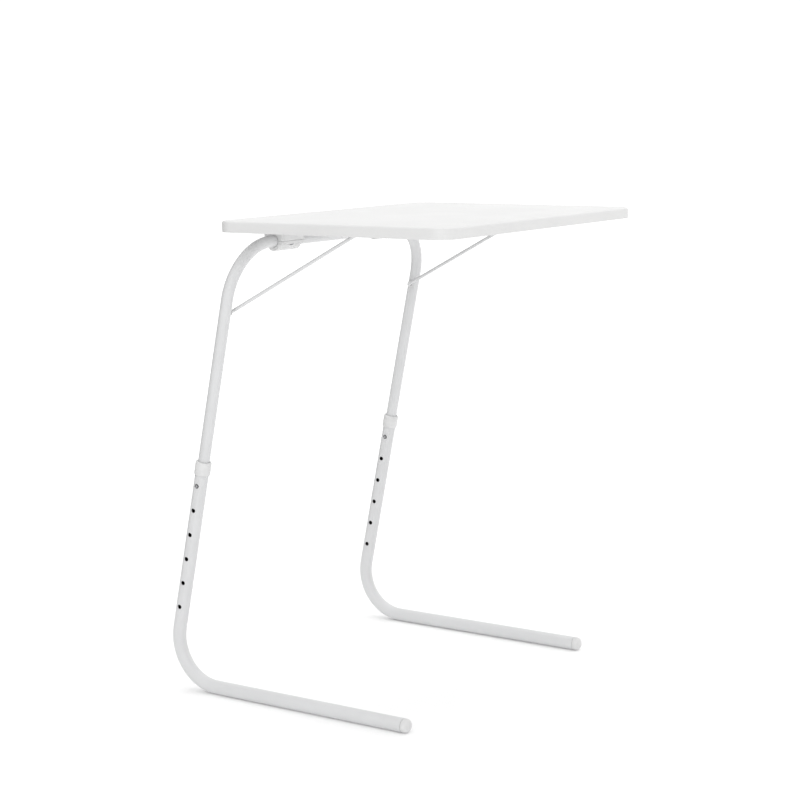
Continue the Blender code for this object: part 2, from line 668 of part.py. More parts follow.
def screw(name, x, y, seat, parent):
    """Pan head screw driven upwards into a pad: its head lies under the seat height."""
    under = seat - GAP
    bottom = under - SCREW_HEAD_HEIGHT
    tip = PAD_UNDERSIDE + SCREW_BITE
    profile = [(0, bottom), (SCREW_FACE_RADIUS, bottom)]
    profile += [(SCREW_HEAD_RADIUS, bottom + SCREW_HEAD_HEIGHT / 2)]
    profile += [(SCREW_HEAD_RADIUS, under), (SCREW_SHANK, under)]
    profile += [(SCREW_SHANK, tip - SCREW_POINT), (0, tip)]
    place = Matrix.Translation((x, y, 0))
    return piece(name, turned(profile, place, SCREW_SIDES), parent, BRIGHT_STEEL)


# ---------------------------------------------------------------- assembly
def build():
    """Make every piece under the empty of the body it moves with."""
    clear_scene()
    lean = Matrix.Rotation(LEAN, 4, "X")
    frame = axis_empty("frame_axis", Matrix.Translation((0, LEG_FLOOR_Y, 0)) @ lean)
    hinge = axis_empty("tray_hinge", Matrix.Translation((0, BAR_Y, BAR_Z)))
    swing = Matrix.Rotation(-PROP_RISE, 4, "X")
    prop = axis_empty("prop_pivot", Matrix.Translation((0, PIVOT_Y, PIVOT_Z)) @ swing)

    upper_frame_tube(frame)
    prop_wire(prop)
    tray_top(hinge)
    for side, sign in (("left", -1), ("right", 1)):
        foot = Matrix.Translation((sign * LEG_SPACING / 2, LEG_FLOOR_Y, 0))
        leg = axis_empty(f"leg_axis_{side}", foot @ lean)
        leg_tube(side, leg)
        foot_plug(side, leg)
        collar(side, leg)
        frame_plug(side, sign, frame)
        button_spring(side, sign, frame)
        prop_bush(side, sign, frame)
        hole = foot @ lean @ Matrix.Translation((0, 0, TOP_HOLE))
        lock_button(side, axis_empty(f"button_axis_{side}", hole))
        hinge_saddle(side, sign, hinge)
        hinge_strap(side, sign, hinge)
        catch_rail(side, sign, hinge)
    places = [(side, end) for side in ("left", "right") for end in ("front", "rear")]
    for (side, end), (x, y) in zip(places, hinge_screws()):
        screw(f"hinge_screw_{side}_{end}", x, y, -STRAP_FLANGE, hinge)
    rail_face = PAD_UNDERSIDE - GAP - RAIL_THICKNESS
    for (side, end), (x, y) in zip(places, rail_screws()):
        screw(f"rail_screw_{side}_{end}", x, y, rail_face, hinge)


build()
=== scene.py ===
"""Studio scene of a folding, height adjustable lap desk, built round its fixed CAD frame.

Metres, +Z up. +X runs from the left leg to the right leg and -Y is the front, where the feet
point. Each class makes one sub-assembly: it models the meshes in a frame of its own, such as
one whose Z runs up a leg, puts them in place and dresses them. The CAD frame says where
everything goes.
"""

from __future__ import annotations

import json
import logging
import math
from dataclasses import dataclass
from enum import Enum
from typing import Callable, Sequence

import bmesh
import bpy
from mathutils import Matrix, Vector


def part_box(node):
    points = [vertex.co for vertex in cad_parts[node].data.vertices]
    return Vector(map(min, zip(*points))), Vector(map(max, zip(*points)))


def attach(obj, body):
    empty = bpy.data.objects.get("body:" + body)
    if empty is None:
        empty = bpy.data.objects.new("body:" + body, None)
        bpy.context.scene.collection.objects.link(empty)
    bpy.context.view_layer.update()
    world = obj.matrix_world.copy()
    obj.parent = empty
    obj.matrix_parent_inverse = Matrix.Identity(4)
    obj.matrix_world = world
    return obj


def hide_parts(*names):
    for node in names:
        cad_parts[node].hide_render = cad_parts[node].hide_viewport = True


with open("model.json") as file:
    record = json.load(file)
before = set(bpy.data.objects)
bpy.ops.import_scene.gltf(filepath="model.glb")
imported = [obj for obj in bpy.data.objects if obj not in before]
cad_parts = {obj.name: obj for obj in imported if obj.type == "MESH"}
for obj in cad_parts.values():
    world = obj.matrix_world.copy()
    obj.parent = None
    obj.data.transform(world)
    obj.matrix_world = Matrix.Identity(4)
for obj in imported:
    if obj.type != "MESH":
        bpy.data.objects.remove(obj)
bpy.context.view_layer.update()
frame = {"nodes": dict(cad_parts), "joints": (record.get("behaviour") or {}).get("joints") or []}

LOG = logging.getLogger("lap_desk")
GAP = 0.0003
TOUCH = 0.00001
SCREW_HOLE = 0.0018
BEND_STEPS = 30
HOLE_SIDES = 28
WELD = 1e-6
SHARP = math.radians(38.0)
SMOOTH = math.radians(34.0)

X_AXIS = Vector((1.0, 0.0, 0.0))
Y_AXIS = Vector((0.0, 1.0, 0.0))
Z_AXIS = Vector((0.0, 0.0, 1.0))

Colour = tuple[float, float, float]
Element = bmesh.types.BMEdge | bmesh.types.BMFace
Test = Callable[[Vector], bool]


# ------------------------------------------------------------------ named choices
class Place(Enum):
    """A place that pieces are named after."""

    @property
    def word(self) -> str:
        """The place's name in lower case, as piece names hold it."""
        return self.name.lower()


class Side(Place):
    """The two legs, by the sign of their X."""

    LEFT = -1
    RIGHT = 1


class End(Place):
    """The two screws of a block or rail, by the sign of their Y."""

    FRONT = -1
    REAR = 1


class Body(Enum):
    """The frame's bodies."""

    LEGS = "legs"
    UPPER_FRAME = "upper_frame"
    TRAY = "tray"
    PROP = "prop"
    LEFT_BUTTON = "button_left"
    RIGHT_BUTTON = "button_right"


class Slot(Enum):
    """The record's material slots."""

    PAINT = "white_paint"
    PLASTIC = "white_plastic"
    FITTINGS = "white_fittings"
    STEEL = "bright_steel"
    SPRING = "spring_steel"


class Pick(Enum):
    """What a selection in edit mode is made of."""

    POINTS = "VERT"
    EDGES = "EDGE"
    FACES = "FACE"


# ------------------------------------------------------------------ shader wiring
class Wire:
    """An output socket that can be written into arithmetic."""

    def __init__(self, board: Board, socket: bpy.types.NodeSocket) -> None:
        """Keep the socket and the board it is on.

        Args:
            board: The node tree the socket belongs to.
            socket: The output to wrap.
        """
        self.board = board
        self.socket = socket

    def _sum(self, operation: str, first: Wire | float, second: Wire | float) -> Wire:
        """Add a Math node.

        Args:
            operation: The Math node's operation.
            first: Its first value or link.
            second: Its second value or link.

        Returns:
            The node's result.
        """
        return self.board.add("ShaderNodeMath", {"operation": operation}, {0: first, 1: second})

    def __add__(self, other: Wire | float) -> Wire:
        """This plus another."""
        return self._sum("ADD", self, other)

    __radd__ = __add__

    def __sub__(self, other: Wire | float) -> Wire:
        """This less another."""
        return self._sum("SUBTRACT", self, other)

    def __rsub__(self, other: Wire | float) -> Wire:
        """Another less this."""
        return self._sum("SUBTRACT", other, self)

    def __mul__(self, other: Wire | float) -> Wire:
        """This times another."""
        return self._sum("MULTIPLY", self, other)

    __rmul__ = __mul__

    def over(self, low: float, high: float) -> Wire:
        """A smooth step from 0 to 1.

        Args:
            low: Where the step starts; it may be the higher number, for a falling step.
            high: Where it ends.

        Returns:
            The step, held between 0 and 1.
        """
        settings = {"interpolation_type": "SMOOTHSTEP"}
        return self.board.add(
            "ShaderNodeMapRange", settings, {"Value": self, "From Min": low, "From Max": high}
        )

    def along(self, way: tuple[float, float, float]) -> Wire:
        """How far along a direction this vector reaches.

        Args:
            way: The direction, of length 1.

        Returns:
            The distance.
        """
        settings = {"operation": "DOT_PRODUCT"}
        return self.board.add("ShaderNodeVectorMath", settings, {0: self, 1: way}, "Value")


class Board:
    """The node tree of one material or of the world."""

    def __init__(self, tree: bpy.types.NodeTree) -> None:
        """Clear a node tree.

        Args:
            tree: The tree to wire up.
        """
        self.tree = tree
        self.tree.nodes.clear()

    def add(
        self,
        kind: str,
        settings: dict[str, object] | None = None,
        values: dict[str | int, object] | None = None,
        output: str | int = 0,
    ) -> Wire:
        """Add a node.

        Args:
            kind: The node's type.
            settings: Its properties, set first. The key stops holds a ramp's (place, colour) pairs.
            values: Its sockets' numbers, colours or wires, by name, identifier or place.
            output: The output wanted, in the same way.

        Returns:
            That output.
        """
        node = self.tree.nodes.new(kind)
        for key, value in (settings or {}).items():
            if key == "stops":
                self._stops(node.color_ramp, value)
            else:
                setattr(node, key, value)
        for key, value in (values or {}).items():
            socket = self._find(node.inputs, key)
            if isinstance(value, Wire):
                self.tree.links.new(value.socket, socket)
            else:
                socket.default_value = value
        if not len(node.outputs):
            return Wire(self, None)
        return Wire(self, self._find(node.outputs, output))

    @staticmethod
    def _stops(ramp: bpy.types.ColorRamp, stops: Sequence[tuple[float, Colour]]) -> None:
        """Give a colour ramp its stops.

        Args:
            ramp: The ramp to fill.
            stops: Places from 0 to 1 with their colours.
        """
        while len(ramp.elements) < len(stops):
            ramp.elements.new(1.0)
        for element, (place, colour) in zip(ramp.elements, stops):
            element.position = place
            element.color = (*colour, 1.0)

    @staticmethod
    def _find(sockets: bpy.types.bpy_prop_collection, key: str | int) -> bpy.types.NodeSocket:
        """Find a socket by place, identifier or name.

        Args:
            sockets: A node's inputs or outputs.
            key: What to look for.

        Returns:
            The first socket that fits.
        """
        if isinstance(key, int):
            return sockets[key]
        by_identifier = [s for s in sockets if s.identifier == key]
        return (by_identifier or [s for s in sockets if s.name == key])[0]

    def place(
        self, turn: tuple[float, float, float] = (0.0, 0.0, 0.0),
        stretch: tuple[float, float, float] = (1.0, 1.0, 1.0),
    ) -> Wire:
        """Object coordinates, turned and then stretched.

        Args:
            turn: The turn about X, Y and Z.
            stretch: The scale along X, Y and Z after the turn.

        Returns:
            The coordinates.
        """
        spot = self.add("ShaderNodeTexCoord", output="Object")
        turned = self.add("ShaderNodeMapping", {}, {"Vector": spot, "Rotation": turn})
        return self.add("ShaderNodeMapping", {}, {"Vector": turned, "Scale": stretch})

    def noise(self, spot: Wire, scale: float, detail: float = 2.0, harsh: float = 0.5) -> Wire:
        """Add a noise pattern.

        Args:
            spot: The coordinates it reads.
            scale: Its cells to the metre.
            detail: How many finer layers it has.
            harsh: How strong the finer layers are.

        Returns:
            The noise, about 0.3 to 0.7.
        """
        values = {"Vector": spot, "Scale": scale, "Detail": detail, "Roughness": harsh}
        return self.add("ShaderNodeTexNoise", {}, values, "Fac")

    def blend(self, factor: Wire | float, first: Wire | Colour, second: Wire | Colour) -> Wire:
        """Mix two colours.

        Args:
            factor: 0 for the first, 1 for the second.
            first: A colour or a wire that carries one.
            second: The other.

        Returns:
            The mixed colour.
        """
        ends = [end if isinstance(end, Wire) else (*end, 1.0) for end in (first, second)]
        values = {"Factor_Float": factor, "A_Color": ends[0], "B_Color": ends[1]}
        return self.add("ShaderNodeMix", {"data_type": "RGBA"}, values, "Result_Color")

    def bump(self, height: Wire, rise: float, over: Wire | None = None) -> Wire:
        """Turn a height into a surface normal.

        Args:
            height: The height, where 1 stands rise metres proud.
            rise: How much that is.
            over: The normal of a coarser bump, if there is one.

        Returns:
            The normal.
        """
        values: dict[str | int, object] = {"Height": height, "Distance": rise, "Strength": 1.0}
        if over is not None:
            values["Normal"] = over
        return self.add("ShaderNodeBump", {}, values)

    def surface(self, values: dict[str | int, object]) -> None:
        """Add the surface shader and the output.

        Args:
            values: The surface shader's numbers and wires.
        """
        shader = self.add("ShaderNodeBsdfPrincipled", {}, values)
        self.add("ShaderNodeOutputMaterial", {}, {"Surface": shader})


# ------------------------------------------------------------------ finishes
@dataclass(frozen=True)
class Finish:
    """A surface that pieces are dressed in. Each kind draws its own nodes."""

    name: str
    colour: Colour
    roughness: float

    def draw(self, board: Board) -> None:
        """Draw the finish's nodes.

        Args:
            board: The empty node tree to draw on.
        """
        raise NotImplementedError(self.name)

    def material(self) -> bpy.types.Material:
        """Make the material, or find it once it is made.

        Returns:
            The finish as a material.
        """
        found = bpy.data.materials.get(self.name)
        if found:
            return found
        made = bpy.data.materials.new(self.name)
        made.use_nodes = True
        made.diffuse_color = (*self.colour, 1.0)
        self.draw(Board(made.node_tree))
        return made

    def shade(self, amount: float) -> Colour:
        """The finish's colour made lighter or darker by a factor."""
        return tuple(min(1.0, part * amount) for part in self.colour)


@dataclass(frozen=True)
class PowderCoat(Finish):
    """Baked powder paint on steel tube: orange peel, cloudy film and rub marks along the tube, with
    a painted highlight on its sharp edges.
    """

    lean: float = 0.0
    peel: float = 0.00002

    def draw(self, board: Board) -> None:
        """Draw the paint.

        Args:
            board: The empty node tree to draw on.
        """
        spot = board.place()
        clouds = board.noise(spot, 24.0, 3.0, 0.55).over(0.34, 0.68)
        film = board.blend(clouds, self.shade(0.985), self.shade(1.01))
        along = board.place((-self.lean, 0.0, 0.0), (1.0, 1.0, 0.045))
        rubs = board.noise(along, 900.0, 2.0, 0.6).over(0.60, 0.74)
        patches = board.noise(spot, 14.0, 2.0).over(0.50, 0.66)
        marks = rubs * patches
        # Painted highlight: sharp convex edges (pointiness) are lightened as if they caught the
        # light.
        edge = board.add("ShaderNodeNewGeometry", output="Pointiness").over(0.53, 0.60)
        dull = board.blend(marks * 0.20, film, self.shade(0.86))
        colour = board.blend(edge * 0.30, dull, self.shade(1.10))
        roughness = self.roughness + 0.10 * clouds + 0.12 * marks
        coarse = board.bump(board.noise(spot, 420.0, 1.0), self.peel)
        fine = board.bump(board.noise(spot, 1600.0, 2.0), self.peel * 0.35, coarse)
        board.surface(
            {
                "Base Color": colour, "Roughness": roughness, "Normal": fine,
                "Coat Weight": 0.15, "Coat Roughness": 0.18, "IOR": 1.48,
            }
        )


@dataclass(frozen=True)
class MouldedTop(Finish):
    """Injection moulded board: fine spark grain over a surface with slow sink waves, and a painted
    highlight on its sharp edges.
    """

    grain: float = 0.000035
    wave: float = 0.00035

    def draw(self, board: Board) -> None:
        """Draw the plastic.

        Args:
            board: The empty node tree to draw on.
        """
        spot = board.place()
        slow = board.noise(spot, 9.0, 2.0, 0.45)
        flow = board.noise(board.place(stretch=(1.0, 0.30, 1.0)), 46.0, 3.0, 0.5)
        specks = board.noise(spot, 640.0, 1.0).over(0.42, 0.64)
        body = board.blend(slow.over(0.38, 0.64), self.shade(0.975), self.shade(1.015))
        streaked = board.blend(flow.over(0.44, 0.70) * 0.35, body, self.shade(0.965))
        grained = board.blend(specks * 0.22, streaked, self.shade(1.035))
        # Painted highlight: sharp convex edges (pointiness) are lightened as if they caught the
        # light.
        edge = board.add("ShaderNodeNewGeometry", output="Pointiness").over(0.52, 0.62)
        colour = board.blend(edge * 0.35, grained, self.shade(1.06))
        scuffs = board.noise(board.place(stretch=(1.0, 0.12, 1.0)), 210.0, 3.0).over(0.60, 0.72)
        roughness = self.roughness + 0.08 * specks + 0.09 * slow - 0.05 * scuffs
        waves = board.bump(slow, self.wave)
        cells = board.add(
            "ShaderNodeTexVoronoi", {"feature": "SMOOTH_F1"},
            {"Vector": spot, "Scale": 1150.0, "Smoothness": 0.7}, "Distance",
        )
        normal = board.bump(cells, self.grain, waves)
        board.surface({"Base Color": colour, "Roughness": roughness, "Normal": normal, "IOR": 1.49})


@dataclass(frozen=True)
class SatinFitting(Finish):
    """Smooth moulded fitting: satin nylon or polypropylene with faint draw lines, and a painted
    highlight on its sharp edges.
    """

    draw_lines: float = 0.00002

    def draw(self, board: Board) -> None:
        """Draw the plastic.

        Args:
            board: The empty node tree to draw on.
        """
        spot = board.place()
        clouds = board.noise(spot, 75.0, 3.0).over(0.36, 0.66)
        body = board.blend(clouds, self.shade(0.955), self.shade(1.02))
        # Painted highlight: sharp convex edges (pointiness) are lightened as if they caught the
        # light.
        edge = board.add("ShaderNodeNewGeometry", output="Pointiness").over(0.52, 0.60)
        colour = board.blend(edge * 0.40, body, self.shade(1.08))
        lines = board.noise(board.place(stretch=(1.0, 1.0, 0.10)), 1500.0, 2.0)
        roughness = self.roughness + 0.10 * clouds
        normal = board.bump(lines, self.draw_lines)
        board.surface({"Base Color": colour, "Roughness": roughness, "Normal": normal, "IOR": 1.50})


@dataclass(frozen=True)
class PlatedSteel(Finish):
    """Bright nickel plate over turned or headed steel, dulled a little in patches. Its colour is
    set dark as a painted reflection of dark surroundings.
    """

    def draw(self, board: Board) -> None:
        """Draw the plate.

        Args:
            board: The empty node tree to draw on.
        """
        spot = board.place()
        haze = board.noise(spot, 520.0, 3.0).over(0.36, 0.66)
        stain = board.noise(spot, 190.0, 2.0).over(0.54, 0.70)
        bright = board.blend(haze, self.shade(0.92), self.shade(1.08))
        colour = board.blend(stain * 0.30, bright, self.shade(0.66))
        roughness = self.roughness + 0.14 * haze + 0.08 * stain
        rings = board.noise(board.place(stretch=(0.2, 1.0, 1.0)), 4200.0, 1.0)
        normal = board.bump(rings, 0.000004)
        values = {"Base Color": colour, "Roughness": roughness, "Normal": normal, "Metallic": 1.0}
        board.surface(values)


@dataclass(frozen=True)
class BareBore(Finish):
    """The unpainted inside of a tube, streaked along the tube: bare steel, its colour kept near
    black as painted shade in the locking holes.
    """

    lean: float = 0.0

    def draw(self, board: Board) -> None:
        """Draw the scale.

        Args:
            board: The empty node tree to draw on.
        """
        along = board.place((-self.lean, 0.0, 0.0), (1.0, 1.0, 0.06))
        streaks = board.noise(along, 700.0, 3.0).over(0.38, 0.66)
        colour = board.blend(streaks, self.shade(0.7), self.shade(1.5))
        roughness = self.roughness + 0.15 * streaks
        board.surface({"Base Color": colour, "Roughness": roughness, "Metallic": 0.3})


@dataclass(frozen=True)
class SpringStrip(Finish):
    """Blued spring strip with the rolling lines that run along it."""

    def draw(self, board: Board) -> None:
        """Draw the strip.

        Args:
            board: The empty node tree to draw on.
        """
        rolled = board.noise(board.place(stretch=(1.0, 1.0, 0.04)), 3800.0, 2.0)
        temper = board.noise(board.place(), 160.0, 2.0).over(0.40, 0.62)
        colour = board.blend(temper, self.shade(0.85), (0.36, 0.37, 0.46))
        roughness = self.roughness + 0.20 * rolled
        normal = board.bump(rolled, 0.000006)
        values = {"Base Color": colour, "Roughness": roughness, "Normal": normal, "Metallic": 1.0}
        board.surface(values)


@dataclass(frozen=True)
class StudioPaper(Finish):
    """Matt white paper that glows into an even white away from the object.

    Beyond a line on its rear left the paper lights the object less, which gives the tubes a
    darker edge. It looks just as white there.
    """

    glow: float = 1.25
    lift: float = 0.06
    near: float = 0.55
    far: float = 1.9
    left: tuple[float, float, float] = (-0.716, 0.698, 0.0)
    rear: tuple[float, float, float] = (0.698, 0.716, 0.0)
    line: tuple[float, float] = (0.64, 0.95)
    behind: tuple[float, float] = (-0.5, 0.1)
    depth: float = 0.92

    def draw(self, board: Board) -> None:
        """Draw the paper.

        Args:
            board: The empty node tree to draw on.
        """
        spot = board.place()
        fibre = board.noise(spot, 260.0, 3.0).over(0.35, 0.65)
        looked_at = board.add("ShaderNodeLightPath", output="Is Camera Ray")
        dark = self.depth * spot.along(self.left).over(*self.line)
        dark = dark * spot.along(self.rear).over(*self.behind) * (1.0 - looked_at)
        pale = board.blend(fibre, self.shade(0.995), self.shade(1.005))
        colour = board.blend(dark, pale, self.shade(0.15))
        paper = board.add(
            "ShaderNodeBsdfPrincipled", {},
            {"Base Color": colour, "Roughness": self.roughness, "Specular IOR Level": 0.0},
        )
        away = board.add("ShaderNodeVectorMath", {"operation": "LENGTH"}, {0: spot}, "Value")
        white = board.add(
            "ShaderNodeEmission", {}, {"Color": (1.0, 1.0, 1.0, 1.0), "Strength": self.glow}
        )
        fade = self.lift + (1.0 - self.lift) * away.over(self.near, self.far)
        fade = fade * (1.0 - dark)
        mixed = board.add("ShaderNodeMixShader", {}, {0: fade, 1: paper, 2: white})
        board.add("ShaderNodeOutputMaterial", {}, {"Surface": mixed})


# ------------------------------------------------------------------ modelling
class Bench:
    """The workbench: meshes are shaped here with Blender's own operators, one at a time."""

    @staticmethod
    def clear() -> None:
        """Leave edit mode and select nothing."""
        if bpy.context.object and bpy.context.object.mode != "OBJECT":
            bpy.ops.object.mode_set(mode="OBJECT")
        bpy.ops.object.select_all(action="DESELECT")

    @staticmethod
    def hold(*work: bpy.types.Object) -> bpy.types.Object:
        """Select objects only, the first of them active.

        Args:
            *work: The objects to hold.

        Returns:
            The active one.
        """
        Bench.clear()
        for each in work:
            each.select_set(True)
        bpy.context.view_layer.objects.active = work[0]
        return work[0]

    @staticmethod
    def settle(work: bpy.types.Object, place: Matrix | None = None) -> bpy.types.Object:
        """Put an object's place into its mesh, after moving it if a place is given.

        Args:
            work: The object to settle.
            place: Where to move it first.

        Returns:
            The same object, at the origin.
        """
        Bench.hold(work)
        if place is not None:
            work.matrix_world = place @ work.matrix_world
        bpy.ops.object.transform_apply(location=True, rotation=True, scale=True)
        return work

    @staticmethod
    def block(low: Sequence[float], high: Sequence[float]) -> bpy.types.Object:
        """Add a block between two corners.

        Args:
            low: Its lowest corner.
            high: Its highest corner.

        Returns:
            The block.
        """
        Bench.clear()
        low, high = Vector(low), Vector(high)
        bpy.ops.mesh.primitive_cube_add(size=1.0, location=(low + high) / 2, scale=high - low)
        return Bench.settle(bpy.context.object)

    @staticmethod
    def rod(
        start: Sequence[float], direction: Vector, length: float, radius: float,
        sides: int = 32, capped: bool = True,
    ) -> bpy.types.Object:
        """Add a straight rod or open pipe.

        Args:
            start: The middle of its first end.
            direction: The way it runs.
            length: How long it is.
            radius: Its radius.
            sides: How many faces go round it.
            capped: Whether its ends are closed.

        Returns:
            The rod.
        """
        Bench.clear()
        run = Vector(direction).normalized()
        bpy.ops.mesh.primitive_cylinder_add(
            vertices=sides, radius=radius, depth=length,
            end_fill_type="NGON" if capped else "NOTHING",
            location=Vector(start) + run * length / 2,
            rotation=run.to_track_quat("Z", "Y").to_euler(),
        )
        return Bench.settle(bpy.context.object)

    @staticmethod
    def shape(work: bpy.types.Object) -> None:
        """Go into edit mode on an object."""
        Bench.hold(work)
        bpy.ops.object.mode_set(mode="EDIT")

    @staticmethod
    def pick(kind: Pick, test: Test) -> None:
        """Select the edges or faces whose every corner passes a test, and nothing else.

        Args:
            kind: Edges or faces.
            test: Takes a corner's place and says whether it counts.
        """
        Bench.choose(kind, lambda element: all(test(v.co) for v in element.verts))

    @staticmethod
    def pick_upright() -> None:
        """Select the edges that run along Z, and nothing else."""
        Bench.choose(Pick.EDGES, lambda e: abs(e.verts[0].co.z - e.verts[1].co.z) > GAP)

    @staticmethod
    def choose(kind: Pick, test: Callable[[Element], bool]) -> None:
        """Select the edges or faces that pass a test, and nothing else.

        Args:
            kind: Edges or faces.
            test: Takes an edge or a face and says whether it counts.
        """
        bpy.ops.mesh.select_mode(type=kind.value)
        bpy.ops.mesh.select_all(action="DESELECT")
        mesh = bmesh.from_edit_mesh(bpy.context.object.data)
        group = mesh.edges if kind is Pick.EDGES else mesh.faces
        for element in [each for each in group if test(each)]:
            element.select_set(True)
        mesh.select_flush_mode()
        bmesh.update_edit_mesh(bpy.context.object.data)

    @staticmethod
    def close(weld: float = WELD) -> None:
        """Merge doubles, point every face outwards and go back to object mode.

        Args:
            weld: How close two corners are that become one.
        """
        bpy.ops.mesh.select_all(action="SELECT")
        bpy.ops.mesh.remove_doubles(threshold=weld)
        bpy.ops.mesh.normals_make_consistent(inside=False)
        bpy.ops.object.mode_set(mode="OBJECT")

    @staticmethod
    def modify(work: bpy.types.Object, kind: str, **settings: object) -> bpy.types.Object:
        """Add a modifier and apply it.

        Args:
            work: The object to change.
            kind: The modifier's type.
            **settings: Its properties.

        Returns:
            The same object.
        """
        Bench.hold(work)
        bpy.ops.object.modifier_add(type=kind)
        modifier = work.modifiers[-1]
        for key, value in settings.items():
            setattr(modifier, key, value)
        bpy.ops.object.modifier_apply(modifier=modifier.name)
        return work

    @staticmethod
    def combine(work: bpy.types.Object, *tools: bpy.types.Object, union: bool = False) -> None:
        """Cut tools out of an object, or weld them on, and throw the tools away.

        Args:
            work: The object to change.
            *tools: The objects to cut or add.
            union: Whether they are added.
        """
        for tool in tools:
            operation = "UNION" if union else "DIFFERENCE"
            Bench.modify(work, "BOOLEAN", object=tool, operation=operation, solver="EXACT")
            bpy.data.objects.remove(tool, do_unlink=True)

    @staticmethod
    def copy(work: bpy.types.Object, place: Matrix) -> bpy.types.Object:
        """Copy an object with a mesh of its own.

        Args:
            work: The object to copy.
            place: Where the copy goes, from where the first one is.

        Returns:
            The copy.
        """
        made = work.copy()
        made.data = work.data.copy()
        bpy.context.scene.collection.objects.link(made)
        return Bench.settle(made, place)

    @staticmethod
    def join(*work: bpy.types.Object) -> bpy.types.Object:
        """Join loose meshes into the first one.

        Args:
            *work: The objects to join.

        Returns:
            The first, with all of them in it.
        """
        Bench.hold(*work)
        bpy.ops.object.join()
        return bpy.context.object

    @staticmethod
    def ease(work: bpy.types.Object, width: float, segments: int = 2) -> bpy.types.Object:
        """Round an object's sharp edges.

        Args:
            work: The object to round.
            width: How far the rounding reaches from each edge.
            segments: How many faces it has.

        Returns:
            The same object.
        """
        return Bench.modify(
            work, "BEVEL", width=width, segments=segments, limit_method="ANGLE",
            angle_limit=SHARP, use_clamp_overlap=True,
        )


class Lathe:
    """Turns a closed outline of (radius, height) points round the Z axis."""

    @staticmethod
    def turn(outline: Sequence[tuple[float, float]], sides: int = 40) -> bpy.types.Object:
        """Draw the outline point by point and spin it.

        Args:
            outline: The points, in order; points of no radius close on the axis.
            sides: How many faces go round.

        Returns:
            The turned solid.
        """
        Bench.clear()
        bpy.ops.mesh.primitive_plane_add(size=1.0)
        work = bpy.context.object
        Bench.shape(work)
        bpy.ops.mesh.select_mode(type=Pick.POINTS.value)
        bpy.ops.mesh.select_all(action="SELECT")
        bpy.ops.mesh.merge(type="CENTER")
        bpy.ops.transform.translate(value=(outline[0][0], 0.0, outline[0][1]))
        for before, after in zip(outline, outline[1:]):
            step = (after[0] - before[0], 0.0, after[1] - before[1])
            bpy.ops.mesh.extrude_vertices_move(TRANSFORM_OT_translate={"value": step})
        if outline[0][0] > 0.0:
            step = (outline[0][0] - outline[-1][0], 0.0, outline[0][1] - outline[-1][1])
            bpy.ops.mesh.extrude_vertices_move(TRANSFORM_OT_translate={"value": step})
        bpy.ops.mesh.select_all(action="SELECT")
        bpy.ops.mesh.spin(steps=sides, angle=math.tau, center=(0, 0, 0), axis=(0, 0, 1))
        Bench.close(2 * WELD)
        return work

    @staticmethod
    def arc(
        centre: tuple[float, float], radius: float, start: float, end: float, steps: int
    ) -> list[tuple[float, float]]:
        """Points of an arc in the outline's plane.

        Args:
            centre: The arc's centre as (radius, height).
            radius: The arc's own radius.
            start: Its first angle in degrees.
            end: Its last angle in degrees.
            steps: How many parts it has.

        Returns:
            The points, ends included.
        """
        angles = [math.radians(start + (end - start) * i / steps) for i in range(steps + 1)]
        return [
            (centre[0] + radius * math.cos(a), centre[1] + radius * math.sin(a)) for a in angles
        ]


class Bender:
    """Bends tube or wire from its first end through straight runs and bends."""

    def __init__(
        self, start: Vector, run: Vector, radius: float, wall: float = 0.0, sides: int = 48
    ) -> None:
        """Draw the first straight run.

        Args:
            start: The middle of the first end.
            run: The first run, with its length.
            radius: The outside radius.
            wall: The wall's thickness, or 0 for solid wire.
            sides: How many faces go round.
        """
        self.wall = wall
        self.work = Bench.rod(start, run, run.length, radius, sides, capped=not wall)
        Bench.shape(self.work)
        end = Vector(start) + run
        way = run.normalized()
        kind = Pick.EDGES if wall else Pick.FACES
        Bench.pick(kind, lambda co: abs((co - end).dot(way)) < TOUCH)

    def straight(self, run: Vector) -> Bender:
        """Draw the end out in a straight line.

        Args:
            run: The run, with its length.

        Returns:
            The bender itself.
        """
        bpy.ops.mesh.extrude_region_move(TRANSFORM_OT_translate={"value": run})
        return self

    def bend(self, centre: Vector, axis: Vector, angle: float, steps: int) -> Bender:
        """Draw the end round an arc.

        Args:
            centre: The arc's centre.
            axis: The line it turns about.
            angle: How far it turns, by the right hand.
            steps: How many parts the arc has.

        Returns:
            The bender itself.
        """
        bpy.ops.mesh.spin(steps=steps, angle=-angle, center=centre, axis=axis)
        return self

    def done(self) -> bpy.types.Object:
        """Close the mesh and give a tube its wall.

        Returns:
            The finished tube or wire.
        """
        Bench.close()
        for _ in range(2 if self.wall else 1):
            self.work.data.materials.append(None)
        if self.wall:
            Bench.modify(
                self.work, "SOLIDIFY", thickness=self.wall, offset=-1.0,
                material_offset=1, material_offset_rim=0,
            )
        return self.work


